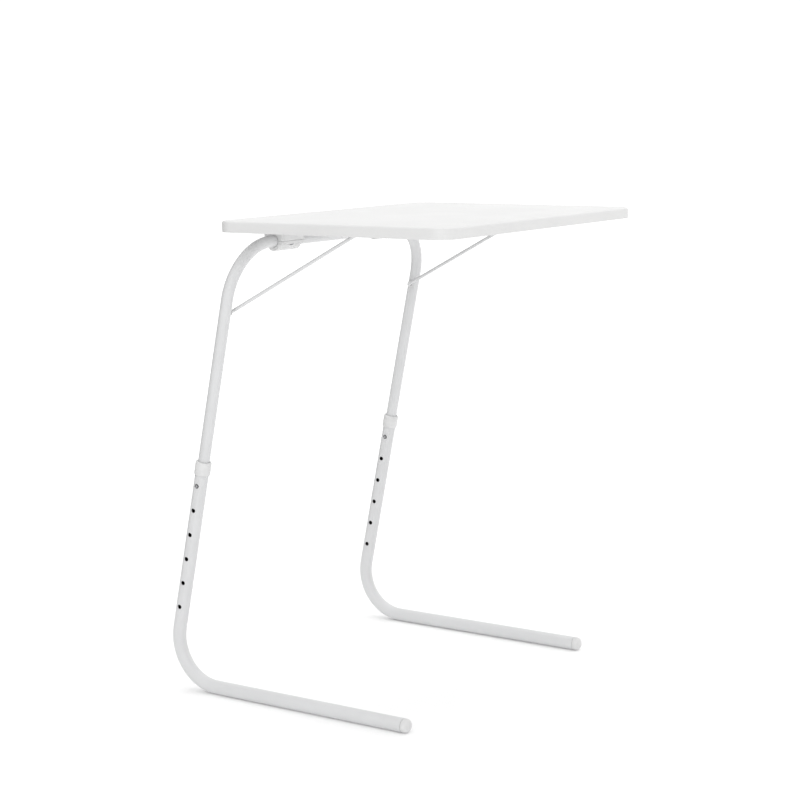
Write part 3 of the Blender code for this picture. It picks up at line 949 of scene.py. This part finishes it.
# ------------------------------------------------------------------ where things are
class Datum:
    """Lines and points of the CAD frame that the pieces are set out from."""

    def __init__(self) -> None:
        """Read the joints and the legs' place."""
        joints = {joint["name"]: joint for joint in frame["joints"]}
        self.up_leg = Vector(joints["height_slide"]["axis"]).normalized()
        self.lean = math.atan2(-self.up_leg.y, self.up_leg.z)
        self.bar = Vector(joints["tray_tilt"]["pos_m"])
        self.pivot = Vector(joints["prop_swing"]["pos_m"])
        self.leg_y = self.bar.y + self.bar.z * math.tan(self.lean)

    @staticmethod
    def middle(node: str) -> Vector:
        """The middle of a CAD node's box."""
        low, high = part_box(node)
        return (low + high) / 2

    def leg(self, x: float) -> Matrix:
        """The frame of a leg: Z runs up it from where its line meets the floor.

        Args:
            x: The leg's place across the object.

        Returns:
            The frame.
        """
        return Matrix.Translation((x, self.leg_y, 0.0)) @ Matrix.Rotation(self.lean, 4, "X")

    def up(self, point: Vector) -> float:
        """How far up the legs' line a point is, from the floor."""
        return (point - Vector((point.x, self.leg_y, 0.0))).dot(self.up_leg)

    @staticmethod
    def facing(start: Vector, direction: Vector) -> Matrix:
        """A frame at a point with its Z along a direction.

        Args:
            start: The frame's origin.
            direction: The way its Z runs.

        Returns:
            The frame.
        """
        return Matrix.Translation(start) @ direction.to_track_quat("Z", "Y").to_matrix().to_4x4()


@dataclass(frozen=True)
class Wardrobe:
    """The finishes, one for each material slot, and the bare inside of the tubes, kept near black
    as painted shade.
    """

    paint: PowderCoat
    plastic: MouldedTop
    fittings: SatinFitting
    steel: PlatedSteel
    spring: SpringStrip
    bore: BareBore

    def of(self, slot: Slot) -> Finish:
        """The finish of a material slot."""
        return {
            Slot.PAINT: self.paint, Slot.PLASTIC: self.plastic, Slot.FITTINGS: self.fittings,
            Slot.STEEL: self.steel, Slot.SPRING: self.spring,
        }[slot]

    def dress(
        self, work: bpy.types.Object, name: str, slot: Slot, body: Body, *nodes: str
    ) -> None:
        """Name a finished piece, give it its finish and let it ride.

        Args:
            work: The piece, in place.
            name: Its name.
            slot: The record's slot its finish comes from.
            body: The body it rides on.
            *nodes: The CAD nodes it stands for.
        """
        Bench.hold(work)
        bpy.ops.object.shade_smooth_by_angle(angle=SMOOTH)
        work.name = name
        work.data.name = name
        # Inner tube walls get the bore finish: bare steel kept near black as painted shade inside
        # the holes.
        if len(work.data.materials) == 2:
            work.data.materials[1] = self.bore.material()
        else:
            work.data.materials.clear()
            work.data.materials.append(None)
        work.data.materials[0] = self.of(slot).material()
        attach(work, body.value)
        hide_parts(*nodes)
        LOG.info("%s: %d faces, on %s", name, len(work.data.polygons), body.value)


# ------------------------------------------------------------------ sub-assemblies
@dataclass
class Assembly:
    """A group of pieces: where things are, and what the pieces are dressed in."""

    datum: Datum
    wardrobe: Wardrobe


@dataclass
class Paired(Assembly):
    """A group that the object has on its left and on its right."""

    side: Side

    def node(self, kind: str) -> str:
        """This side's name for a kind of node or piece."""
        return f"{kind}_{self.side.word}"

    def middle(self, kind: str) -> Vector:
        """The middle of this side's CAD node of a kind."""
        return self.datum.middle(self.node(kind))

    def finish(self, work: bpy.types.Object, name: str, slot: Slot, body: Body, kind: str) -> None:
        """Dress a piece that stands for one CAD node of this side.

        Args:
            work: The piece, in place.
            name: Its name without the side.
            slot: The record's slot its finish comes from.
            body: The body it rides on.
            kind: The node's name without the side.
        """
        self.wardrobe.dress(work, self.node(name), slot, body, self.node(kind))


@dataclass
class LowerLeg(Paired):
    """A lower tube with its heel bend, foot and row of locking holes, its sleeve and its plug."""

    radius: float = 0.010
    wall: float = 0.0012
    heel: float = 0.068
    top: float = 0.350
    hole: float = 0.0034
    pitch: float = 0.038
    holes: int = 6
    drill_start: float = 0.004
    drill_length: float = 0.010
    rim: float = 0.00028
    sleeve: float = 0.01175
    sleeve_half: float = 0.010
    sleeve_edge: float = 0.0009
    sleeve_lip: float = 0.0022
    post: float = 0.0085
    crown: float = 0.0062
    stem: float = 0.014
    taper: float = 0.001

    def __post_init__(self) -> None:
        """Work out the leg's own frame and where its straight part ends."""
        low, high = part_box(self.node("leg_tube"))
        self.x = (low.x + high.x) / 2
        self.tip_y = low.y
        self.heel_y = high.y - self.radius - self.heel
        self.place = self.datum.leg(self.x)
        lean = self.datum.lean
        level = self.radius + self.heel + self.heel * math.sin(lean)
        self.tangent = level / math.cos(lean)

    def build(self) -> None:
        """Make the leg's pieces."""
        self.tube()
        self.collar()
        self.plug()

    def tube(self) -> None:
        """Bend the tube, drill its holes and ease their rims."""
        down = Z_AXIS * (self.tangent - self.top)
        bender = Bender(Z_AXIS * self.top, down, self.radius, self.wall)
        angle = math.pi / 2 + self.datum.lean
        bender.bend(Vector((0.0, -self.heel, self.tangent)), X_AXIS, -angle, BEND_STEPS)
        forwards = Matrix.Rotation(-angle, 3, "X") @ -Z_AXIS
        bender.straight(forwards * (self.heel_y - self.tip_y))
        tube = bender.done()
        Bench.combine(tube, self.drill())
        Bench.ease(tube, self.rim)
        Bench.settle(tube, self.place)
        self.finish(tube, "lower_leg", Slot.PAINT, Body.LEGS, "leg_tube")

    def drill(self) -> bpy.types.Object:
        """One cutter with a rod for each locking hole.

        Returns:
            The cutter, in the leg's frame.
        """
        button = self.place.inverted() @ self.middle("lock_button")
        way = Vector((button.x, button.y, 0.0)).normalized()
        start = way * self.drill_start + Z_AXIS * button.z
        first = Bench.rod(start, way, self.drill_length, self.hole, HOLE_SIDES)
        steps = range(1, self.holes)
        rest = [Bench.copy(first, Matrix.Translation(-Z_AXIS * self.pitch * n)) for n in steps]
        return Bench.join(first, *rest)

    def collar(self) -> None:
        """Turn the sleeve: a rounded top, and a lower edge that stands off the tube."""
        middle = self.datum.up(self.middle("collar"))
        low, high = middle - self.sleeve_half, middle + self.sleeve_half
        grip, mouth = self.radius + GAP, self.post + GAP
        shoulder = self.top + GAP
        ease, mouth_wide, mouth_deep = 0.0003, 0.0004, 0.0005
        edge, lip = self.sleeve_edge, self.sleeve_lip
        outline = [(grip, low + ease), (grip + ease, low)]
        outline += Lathe.arc((self.sleeve - edge, low + edge), edge, -90, 0, 4)
        outline += Lathe.arc((self.sleeve - lip, high - lip), lip, 0, 90, 8)
        outline += [(mouth + mouth_wide, high), (mouth, high - mouth_deep)]
        outline += [(mouth, shoulder), (grip, shoulder)]
        sleeve = Bench.settle(Lathe.turn(outline, 56), self.place)
        self.finish(sleeve, "sleeve", Slot.FITTINGS, Body.LEGS, "collar")

    def plug(self) -> None:
        """Turn the foot's plug: a domed head with a seam lip and a short stem in the tube."""
        head = self.tip_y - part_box(self.node("foot_plug"))[0].y
        stem, base = self.radius - self.wall - GAP, -self.stem
        seam_wide, seam_deep = 0.0003, 0.0004
        outline = [(0.0, base), (stem - self.taper, base), (stem, base + 2 * self.taper)]
        outline += [(stem, GAP), (self.radius - seam_wide, GAP), (self.radius, GAP + seam_deep)]
        centre = (self.radius - self.crown, head - self.crown)
        outline += Lathe.arc(centre, self.crown, 0, 90, 10)
        outline += [(0.0, head)]
        place = Datum.facing(Vector((self.x, self.tip_y, self.radius)), -Y_AXIS)
        cap = Bench.settle(Lathe.turn(outline, 48), place)
        self.finish(cap, "foot_cap", Slot.FITTINGS, Body.LEGS, "foot_plug")


@dataclass
class UpperFrame(Assembly):
    """The tube bent into an upside-down U, with its button and pivot holes."""

    radius: float = 0.0085
    wall: float = 0.0012
    shoulder: float = 0.080
    hole: float = 0.0034
    bush_hole: float = 0.0045
    drill_start: float = 0.003
    drill_length: float = 0.010
    rim: float = 0.00025
    plug_middle: float = 0.002

    def build(self) -> None:
        """Bend the tube and drill it."""
        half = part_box("upper_frame_tube")[1].x - self.radius
        start = self.datum.up(self.datum.bar) - self.shoulder
        mouth = self.datum.up(self.datum.middle("frame_plug_left")) - self.plug_middle
        turn = math.pi / 2
        rise = Z_AXIS * (start - mouth)
        bender = Bender(Vector((-half, 0.0, mouth)), rise, self.radius, self.wall)
        bender.bend(Vector((-half + self.shoulder, 0.0, start)), Y_AXIS, turn, BEND_STEPS)
        bender.straight(X_AXIS * 2 * (half - self.shoulder))
        bender.bend(Vector((half - self.shoulder, 0.0, start)), Y_AXIS, turn, BEND_STEPS)
        bender.straight(-rise)
        tube = bender.done()
        Bench.combine(tube, self.drill(half))
        Bench.ease(tube, self.rim)
        Bench.settle(tube, self.datum.leg(0.0))
        self.wardrobe.dress(tube, "post_frame", Slot.PAINT, Body.UPPER_FRAME, "upper_frame_tube")

    def drill(self, half: float) -> bpy.types.Object:
        """One cutter with a rod for each button and each pivot bush.

        Args:
            half: Half the distance between the posts.

        Returns:
            The cutter, in the posts' frame.
        """
        rods = []
        pivot = Z_AXIS * self.datum.up(self.datum.pivot)
        for side in Side:
            post = X_AXIS * side.value * half
            leg = self.datum.leg(post.x)
            button = leg.inverted() @ self.datum.middle(f"lock_button_{side.word}")
            outwards = Vector((button.x, button.y, 0.0)).normalized()
            inwards = -side.value * X_AXIS
            for height, way, radius in (
                (Z_AXIS * button.z, outwards, self.hole), (pivot, inwards, self.bush_hole)
            ):
                start = post + height + way * self.drill_start
                rods.append(Bench.rod(start, way, self.drill_length, radius, HOLE_SIDES))
        return Bench.join(*rods)


@dataclass
class LockStud(Paired):
    """The sprung steel stud that locks a post in one of the leg's holes."""

    radius: float = 0.0027
    tip: float = 0.0126
    flange: float = 0.004
    base: float = 0.0049
    flange_depth: float = 0.0008
    dome: float = 0.0021
    ease: float = 0.0002
    groove: float = 0.00015
    groove_half: float = 0.0003
    groove_below_dome: float = 0.0007

    def build(self) -> None:
        """Turn the stud with a domed tip and a fine turned ring behind it."""
        leg = self.datum.leg(self.middle("leg_tube").x)
        button = leg.inverted() @ self.middle("lock_button")
        way = leg.to_3x3() @ Vector((button.x, button.y, 0.0)).normalized()
        start = leg @ Vector((0.0, 0.0, button.z))
        sphere = (self.radius**2 + self.dome**2) / (2 * self.dome)
        spread = math.degrees(math.asin(self.radius / sphere))
        ledge = self.base + self.flange_depth
        ring = self.tip - self.dome - self.groove_below_dome
        outline = [(0.0, self.base), (self.flange - self.ease, self.base)]
        outline += [(self.flange, self.base + self.ease), (self.flange, ledge)]
        outline += [(self.radius, ledge), (self.radius, ring - self.groove_half)]
        outline += [(self.radius - self.groove, ring)]
        outline += [(self.radius - self.groove, ring + self.groove_half)]
        outline += Lathe.arc((0.0, self.tip - sphere), sphere, 90 - spread, 90, 8)
        outline[-1] = (0.0, self.tip)
        stud = Bench.settle(Lathe.turn(outline, 32), Datum.facing(start, way))
        self.finish(stud, "lock_stud", Slot.STEEL, Body(self.node("button")), "lock_button")


@dataclass
class PropBail(Assembly):
    """The bent wire that swings in the posts and holds the tray up."""

    radius: float = 0.0025
    arm_x: float = 0.2245
    bar_bend: float = 0.012
    end_bend: float = 0.0045
    tip_round: float = 0.0005
    sides: int = 28
    bar_steps: int = 14
    end_steps: int = 10

    def build(self) -> None:
        """Bend the wire from one turned-in end to the other and round its tips."""
        low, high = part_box("prop_wire")
        bar = Vector((0.0, low.y + self.radius, high.z - self.radius))
        rise = math.atan2(bar.z - self.datum.pivot.z, self.datum.pivot.y - bar.y)
        length = (bar - self.datum.pivot).length
        end, arm, bow = self.end_bend, self.arm_x, self.bar_bend
        turn = math.pi / 2
        stub = X_AXIS * (high.x - arm - end)
        bender = Bender(-X_AXIS * high.x, stub, self.radius, sides=self.sides)
        bender.bend(Vector((-arm - end, -end, 0.0)), Z_AXIS, -turn, self.end_steps)
        bender.straight(-Y_AXIS * (length - end - bow))
        bender.bend(Vector((-arm + bow, -length + bow, 0.0)), Z_AXIS, turn, self.bar_steps)
        bender.straight(X_AXIS * 2 * (arm - bow))
        bender.bend(Vector((arm - bow, -length + bow, 0.0)), Z_AXIS, turn, self.bar_steps)
        bender.straight(Y_AXIS * (length - end - bow))
        bender.bend(Vector((arm + end, -end, 0.0)), Z_AXIS, -turn, self.end_steps)
        wire = bender.straight(stub).done()
        Bench.ease(wire, self.tip_round)
        place = Matrix.Translation(self.datum.pivot) @ Matrix.Rotation(-rise, 4, "X")
        Bench.settle(wire, place)
        self.wardrobe.dress(wire, "prop_bail", Slot.PAINT, Body.PROP, "prop_wire")


@dataclass
class TrayShell(Assembly):
    """The moulded tray: a crowned edge, a skirt, and ribs, pads and ejector marks below."""

    corner: float = 0.028
    edge: float = 0.0035
    lip: float = 0.0006
    wall: float = 0.003
    ribs_across: tuple[float, ...] = (-0.200, -0.050, 0.050, 0.200)
    ribs_along: tuple[float, ...] = (0.070, 0.240)
    rib_width: float = 0.002
    rib_depth: float = 0.0035
    rib_ease: float = 0.0005
    pad_depth: float = 0.003
    overlap: float = 0.001
    pilot: float = 0.004
    mark_radius: float = 0.004
    mark_depth: float = 0.0004
    mark_first: tuple[float, float] = (-0.225, 0.035)
    marks_across: tuple[float, ...] = (0.0, 0.112, 0.225, 0.338, 0.450)
    marks_along: tuple[float, ...] = (0.0, 0.120, 0.260, 0.320)

    def __post_init__(self) -> None:
        """Read the tray's box."""
        self.low, self.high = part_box("tray_top")
        self.underside = self.high.z - self.wall

    def build(self) -> None:
        """Make the shell and its underside, and join them into one piece."""
        shell = self.shell()
        Bench.combine(shell, *self.stiffeners(), union=True)
        Bench.combine(shell, self.marks(), self.screw_holes())
        self.wardrobe.dress(shell, "tray_shell", Slot.PLASTIC, Body.TRAY, "tray_top")

    def shell(self) -> bpy.types.Object:
        """Shape the top and skirt from a block.

        Returns:
            The hollow shell.
        """
        work = Bench.block(self.low, self.high)
        Bench.shape(work)
        Bench.pick_upright()
        bpy.ops.mesh.bevel(offset=self.corner, segments=16, affect="EDGES", clamp_overlap=False)
        top, bottom = self.high.z - TOUCH, self.low.z + TOUCH
        Bench.pick(Pick.FACES, lambda co: co.z < bottom)
        bpy.ops.mesh.inset(thickness=self.wall)
        inward = (0.0, 0.0, self.underside - self.low.z)
        bpy.ops.mesh.extrude_region_move(TRANSFORM_OT_translate={"value": inward})
        Bench.pick(Pick.EDGES, lambda co: co.z > top)
        bpy.ops.mesh.bevel(offset=self.edge, segments=7, affect="EDGES", clamp_overlap=False)
        Bench.pick(Pick.EDGES, lambda co: co.z < bottom)
        bpy.ops.mesh.bevel(offset=self.lip, segments=3, affect="EDGES", clamp_overlap=False)
        Bench.close()
        return work

    def stiffeners(self) -> list[bpy.types.Object]:
        """Ribs and pads under the top, each a little block with eased lower edges.

        Returns:
            The blocks, ready to weld on.
        """
        blocks = []
        base, roof = self.underside - self.rib_depth, self.underside + self.overlap
        half, skin = self.rib_width / 2, self.wall / 2
        front, rear = self.low.y + skin, self.high.y - skin
        left, right = self.low.x + skin, self.high.x - skin
        for x in self.ribs_across:
            blocks.append(Bench.block((x - half, front, base), (x + half, rear, roof)))
        for inset in self.ribs_along:
            y = self.low.y + inset
            blocks.append(Bench.block((left, y - half, base), (right, y + half, roof)))
        pad = self.underside - self.pad_depth
        for side in Side:
            for node in (f"hinge_saddle_{side.word}", f"catch_rail_{side.word}"):
                low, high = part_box(node)
                blocks.append(Bench.block((low.x, low.y, pad), (high.x, high.y, roof)))
        return [Bench.ease(block, self.rib_ease) for block in blocks]

    def marks(self) -> bpy.types.Object:
        """Shallow round marks of the mould's ejector pins, as one cutter.

        Returns:
            The cutter.
        """
        across, along = self.mark_first
        below = 2 * self.overlap
        start = (across, self.low.y + along, self.underside - below)
        first = Bench.rod(start, Z_AXIS, below + self.mark_depth, self.mark_radius, 24)
        spots = [(x, y) for x in self.marks_across for y in self.marks_along if x or y]
        rest = [Bench.copy(first, Matrix.Translation((x, y, 0.0))) for x, y in spots]
        return Bench.join(first, *rest)

    def screw_holes(self) -> bpy.types.Object:
        """The pilot holes for the hinge and rail screws, as one cutter.

        Returns:
            The cutter.
        """
        start = self.underside - self.pad_depth - self.overlap
        depth = self.pilot + self.overlap
        spots = [
            self.datum.middle(f"{kind}_{side.word}_{end.word}")
            for kind in ("hinge_screw", "rail_screw") for side in Side for end in End
        ]
        rods = [Bench.rod((at.x, at.y, start), Z_AXIS, depth, SCREW_HOLE, 16) for at in spots]
        return Bench.join(*rods)


@dataclass
class HingeBlock(Paired):
    """A block in two halves that the cross bar turns in: the saddle above and the strap below."""

    bore: float = 0.0088
    bore_half: float = 0.05
    shaft_below: float = 0.020
    shaft: float = 0.045
    corner: float = 0.002
    saddle_ease: float = 0.0004
    strap_ease: float = 0.0005
    strap_round: float = 0.0104
    flange: float = 0.0045
    pocket: float = 0.0012
    web: float = 0.0035
    pocket_base: float = 0.0105
    pocket_roof: float = 0.0032

    def build(self) -> None:
        """Make both halves."""
        self.saddle()
        self.strap()

    def bar_space(self) -> bpy.types.Object:
        """The cylinder the cross bar needs.

        Returns:
            The cutter.
        """
        bar = self.datum.bar
        start = Vector((self.middle("hinge_strap").x - self.bore_half, bar.y, bar.z))
        return Bench.rod(start, X_AXIS, 2 * self.bore_half, self.bore, 64)

    def shafts(self) -> bpy.types.Object:
        """The holes for the block's two screws, as one cutter.

        Returns:
            The cutter.
        """
        rods = []
        for end in End:
            spot = self.datum.middle(self.node("hinge_screw") + f"_{end.word}")
            start = (spot.x, spot.y, self.datum.bar.z - self.shaft_below)
            rods.append(Bench.rod(start, Z_AXIS, self.shaft, SCREW_HOLE, 20))
        return Bench.join(*rods)

    def saddle(self) -> None:
        """Shape the upper half: rounded uprights, bored for the bar and lightened at its ends."""
        low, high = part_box(self.node("hinge_saddle"))
        work = Bench.block(low, high)
        Bench.shape(work)
        Bench.pick_upright()
        bpy.ops.mesh.bevel(offset=self.corner, segments=5, affect="EDGES")
        Bench.close()
        Bench.combine(work, self.bar_space(), self.shafts(), *self.pockets(low, high))
        Bench.ease(work, self.saddle_ease)
        self.finish(work, "clamp_saddle", Slot.FITTINGS, Body.TRAY, "hinge_saddle")

    def pockets(self, low: Vector, high: Vector) -> list[bpy.types.Object]:
        """Shallow moulded pockets in the front and rear walls of the saddle.

        Args:
            low: The saddle's lowest corner.
            high: Its highest corner.

        Returns:
            The cutters.
        """
        cutters = []
        base, roof = low.z + self.pocket_base, high.z - self.pocket_roof
        span = (high.x - low.x - 4 * self.web) / 3
        for face in (low.y, high.y):
            near, far = face - self.pocket, face + self.pocket
            for number in range(3):
                left = low.x + self.web + number * (span + self.web)
                cutters.append(Bench.block((left, near, base), (left + span, far, roof)))
        return cutters

    def strap(self) -> None:
        """Shape the lower half: a round belly with a flange on each side."""
        low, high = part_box(self.node("hinge_strap"))
        centre = Vector((low.x, self.datum.bar.y, low.z + self.strap_round))
        belly = Bench.rod(centre, X_AXIS, high.x - low.x, self.strap_round, 72)
        Bench.shape(belly)
        bpy.ops.mesh.select_all(action="SELECT")
        bpy.ops.mesh.bisect(
            plane_co=(0.0, 0.0, high.z), plane_no=Z_AXIS, clear_outer=True, use_fill=True
        )
        Bench.close()
        wings = Bench.block((low.x, low.y, self.datum.bar.z - self.flange), high)
        Bench.combine(belly, wings, union=True)
        Bench.combine(belly, self.bar_space(), self.shafts())
        Bench.ease(belly, self.strap_ease)
        self.finish(belly, "clamp_strap", Slot.FITTINGS, Body.TRAY, "hinge_strap")


@dataclass
class SeatRail(Paired):
    """A rail under the tray with three seats for the prop's bar."""

    arm: float = 0.258
    bar_up: float = 0.024
    behind: float = 0.0029
    before: float = 0.0049
    depth: float = 0.0023
    tilts: tuple[float, ...] = (0.0, 16.0, 32.0)
    beyond: float = 0.002
    shaft: float = 0.012
    seat_round: float = 0.0006
    edge_round: float = 0.0005

    def seats(self) -> list[float]:
        """Where the bar sits for each working tilt.

        Returns:
            The bar's Y at each seat, with the tray level.
        """
        places = []
        from_bar = self.datum.pivot - self.datum.bar
        pivot = Vector((from_bar.y, from_bar.z))
        for tilt in map(math.radians, self.tilts):
            across = Vector((-math.cos(tilt), -math.sin(tilt)))
            up = Vector((-math.sin(tilt), math.cos(tilt)))
            start = up * self.bar_up - pivot
            half = start.dot(across)
            reach = -half + math.sqrt(half**2 - start.length_squared + self.arm**2)
            places.append(self.datum.bar.y - reach)
        return places

    def build(self) -> None:
        """Shape the rail, cut its seats and drill it."""
        low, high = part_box(self.node("catch_rail"))
        work = Bench.block(low, high)
        left, right, base = low.x - self.beyond, high.x + self.beyond, low.z - self.beyond
        cutters = []
        for y in self.seats():
            far = (right, y + self.behind, low.z + self.depth)
            seat = Bench.block((left, y - self.before, base), far)
            cutters.append(Bench.ease(seat, self.seat_round, 3))
        for end in End:
            spot = self.datum.middle(self.node("rail_screw") + f"_{end.word}")
            cutters.append(Bench.rod((spot.x, spot.y, base), Z_AXIS, self.shaft, SCREW_HOLE, 20))
        Bench.combine(work, *cutters)
        Bench.ease(work, self.edge_round)
        self.finish(work, "seat_rail", Slot.FITTINGS, Body.TRAY, "catch_rail")


@dataclass
class PanScrews(Assembly):
    """The pan head screws with cross recesses that hold blocks and rails to the tray."""

    head: float = 0.0026
    rise: float = 0.0018
    shank: float = 0.0015
    point: float = 0.0012
    face_share: float = 0.55
    round_share: float = 0.62
    rim_share: float = 0.70
    cross_length: float = 0.0030
    cross_width: float = 0.0006
    cross_depth: float = 0.0009

    def build(self) -> None:
        """Model a long and a short screw, and copy each to its places."""
        for kind in ("hinge_screw", "rail_screw"):
            low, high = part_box(f"{kind}_left_front")
            first = self.screw(high.z - low.z)
            for side in Side:
                for end in End:
                    node = f"{kind}_{side.word}_{end.word}"
                    spot = self.datum.middle(node)
                    copy = Bench.copy(first, Matrix.Translation((spot.x, spot.y, low.z)))
                    self.wardrobe.dress(copy, f"pan_{node}", Slot.STEEL, Body.TRAY, node)
            bpy.data.objects.remove(first, do_unlink=True)

    def screw(self, length: float) -> bpy.types.Object:
        """Turn a screw head down, and press the cross into its head.

        Args:
            length: From the head's face to the tip.

        Returns:
            The screw, its head's face at height 0.
        """
        face, curve = self.head * self.face_share, self.rise * self.round_share
        outline = [(0.0, 0.0), (face, 0.0)]
        outline += Lathe.arc((face, curve), curve, -70, -10, 4)
        outline += [(self.head, self.rise * self.rim_share), (self.head, self.rise)]
        outline += [(self.shank, self.rise), (self.shank, length - self.point), (0.0, length)]
        work = Lathe.turn(outline, 28)
        long, wide = self.cross_length / 2, self.cross_width / 2
        for x, y in ((long, wide), (wide, long)):
            slot = Bench.block((-x, -y, -self.cross_depth), (x, y, self.cross_depth))
            Bench.combine(work, slot)
        return work


@dataclass
class HiddenParts:
    """The CAD nodes inside the tubes, which keep their shapes and get their finishes."""

    wardrobe: Wardrobe

    def build(self) -> None:
        """Dress each of them."""
        kinds = {
            "frame_plug": Slot.FITTINGS, "prop_bush": Slot.FITTINGS, "button_spring": Slot.SPRING
        }
        for kind, slot in kinds.items():
            for side in Side:
                node = frame["nodes"][f"{kind}_{side.word}"]
                for holder in node.material_slots:
                    holder.material = self.wardrobe.of(slot).material()
                LOG.info("%s keeps its shape, in %s", node.name, slot.value)


@dataclass(frozen=True)
class Shade:
    """A side of the room that gives less light.

    The room darkens by depth towards way, from where the cosine of the angle to it is start
    to where it is full.
    """

    way: tuple[float, float, float]
    depth: float
    start: float
    full: float


@dataclass
class Studio:
    """A white paper floor, a bright room, three soft lights and the camera."""

    floor_half: float = 60.0
    floor_drop: float = 0.0002
    room: float = 1.10
    shades: tuple[Shade, ...] = (
        Shade((-0.087, 0.996, 0.0), 1.00, 0.64, 0.84),
        Shade((0.0, -1.0, 0.0), 0.20, 0.30, 0.95),
    )
    spot: tuple[float, float, float] = (-2.386, -1.631, 0.870)
    yaw: float = 55.59
    pitch: float = 8.86
    roll: float = -0.75
    lens: float = 88.15

    def build(self) -> None:
        """Set the studio up."""
        self.floor()
        self.walls()
        self.lights()
        self.camera()
        bpy.context.scene.view_settings.view_transform = "Standard"

    def floor(self) -> None:
        """Lay the paper."""
        Bench.clear()
        bpy.ops.mesh.primitive_circle_add(
            vertices=96, radius=self.floor_half, fill_type="NGON",
            location=-Z_AXIS * self.floor_drop,
        )
        work = Bench.settle(bpy.context.object)
        work.name = "studio_floor"
        paper = StudioPaper("studio_paper", (0.98, 0.98, 0.98), 0.9)
        work.data.materials.append(paper.material())

    def walls(self) -> None:
        """Light the room evenly, less from the rear left and the front, but show it white."""
        world = bpy.data.worlds.new("studio_room")
        world.use_nodes = True
        board = Board(world.node_tree)
        way = board.add("ShaderNodeTexCoord", output="Generated")
        unseen = 1.0 - board.add("ShaderNodeLightPath", output="Is Camera Ray")
        strength: Wire | float = self.room
        for shade in self.shades:
            toward = way.along(shade.way).over(shade.start, shade.full)
            strength = strength - shade.depth * toward * unseen
        values = {"Color": (1.0, 1.0, 1.0, 1.0), "Strength": strength}
        light = board.add("ShaderNodeBackground", {}, values)
        board.add("ShaderNodeOutputWorld", {}, {"Surface": light})
        bpy.context.scene.world = world

    @staticmethod
    def lights() -> None:
        """Hang a broad light overhead, a weaker one over the right and one low on the left."""
        aim = Vector((0.0, 0.0, 0.35))
        for name, spot, size, power in (
            ("top_light", (0.3, 0.2, 3.0), 2.2, 17.0),
            ("side_light", (2.4, -0.9, 1.9), 1.4, 3.0),
            ("left_light", (-2.35, -1.3, 1.0), 1.6, 6.0),
        ):
            data = bpy.data.lights.new(name, "AREA")
            data.shape = "DISK"
            data.size = size
            data.energy = power
            lamp = bpy.data.objects.new(name, data)
            lamp.location = spot
            lamp.rotation_euler = (aim - Vector(spot)).to_track_quat("-Z", "Y").to_euler()
            bpy.context.scene.collection.objects.link(lamp)

    def camera(self) -> None:
        """Stand the camera to the left and in front, a little above the tray."""
        yaw, pitch, roll = (math.radians(a) for a in (self.yaw, self.pitch, self.roll))
        ahead = Vector(
            (math.sin(yaw) * math.cos(pitch), math.cos(yaw) * math.cos(pitch), -math.sin(pitch))
        )
        level = Vector((math.cos(yaw), -math.sin(yaw), 0.0))
        upright = level.cross(ahead)
        right = level * math.cos(roll) + upright * math.sin(roll)
        up = upright * math.cos(roll) - level * math.sin(roll)
        turn = Matrix((right, up, -ahead)).transposed().to_4x4()
        data = bpy.data.cameras.new("studio_camera")
        data.lens = self.lens
        data.sensor_width = 36.0
        data.clip_end = 200.0
        eye = bpy.data.objects.new("studio_camera", data)
        eye.matrix_world = Matrix.Translation(self.spot) @ turn
        bpy.context.scene.collection.objects.link(eye)
        bpy.context.scene.camera = eye


def main() -> None:
    """Build the studio and every sub-assembly."""
    logging.basicConfig(level=logging.INFO, format="%(name)s: %(message)s")
    datum = Datum()
    wardrobe = Wardrobe(
        paint=PowderCoat("white_powder_coat", (0.64, 0.643, 0.648), 0.30, datum.lean),
        plastic=MouldedTop("white_moulded_plastic", (0.685, 0.685, 0.682), 0.42),
        fittings=SatinFitting("white_satin_fitting", (0.675, 0.675, 0.675), 0.44),
        # Painted reflection: the nickel's colour is set dark to stand in for the dark surroundings
        # reflected in the studs and screws.
        steel=PlatedSteel("bright_nickel", (0.30, 0.30, 0.31), 0.14),
        spring=SpringStrip("blued_spring_strip", (0.40, 0.41, 0.44), 0.32),
        # Bore: bare steel inside the tubes, darkened to near black as painted shade in the locking
        # holes.
        bore=BareBore("bare_bore", (0.030, 0.029, 0.028), 0.55, datum.lean),
    )
    TrayShell(datum, wardrobe).build()
    UpperFrame(datum, wardrobe).build()
    PropBail(datum, wardrobe).build()
    for side in Side:
        for kind in (LowerLeg, LockStud, HingeBlock, SeatRail):
            kind(datum, wardrobe, side).build()
    PanScrews(datum, wardrobe).build()
    HiddenParts(wardrobe).build()
    Studio().build()


if __name__ == "__main__":
    main()
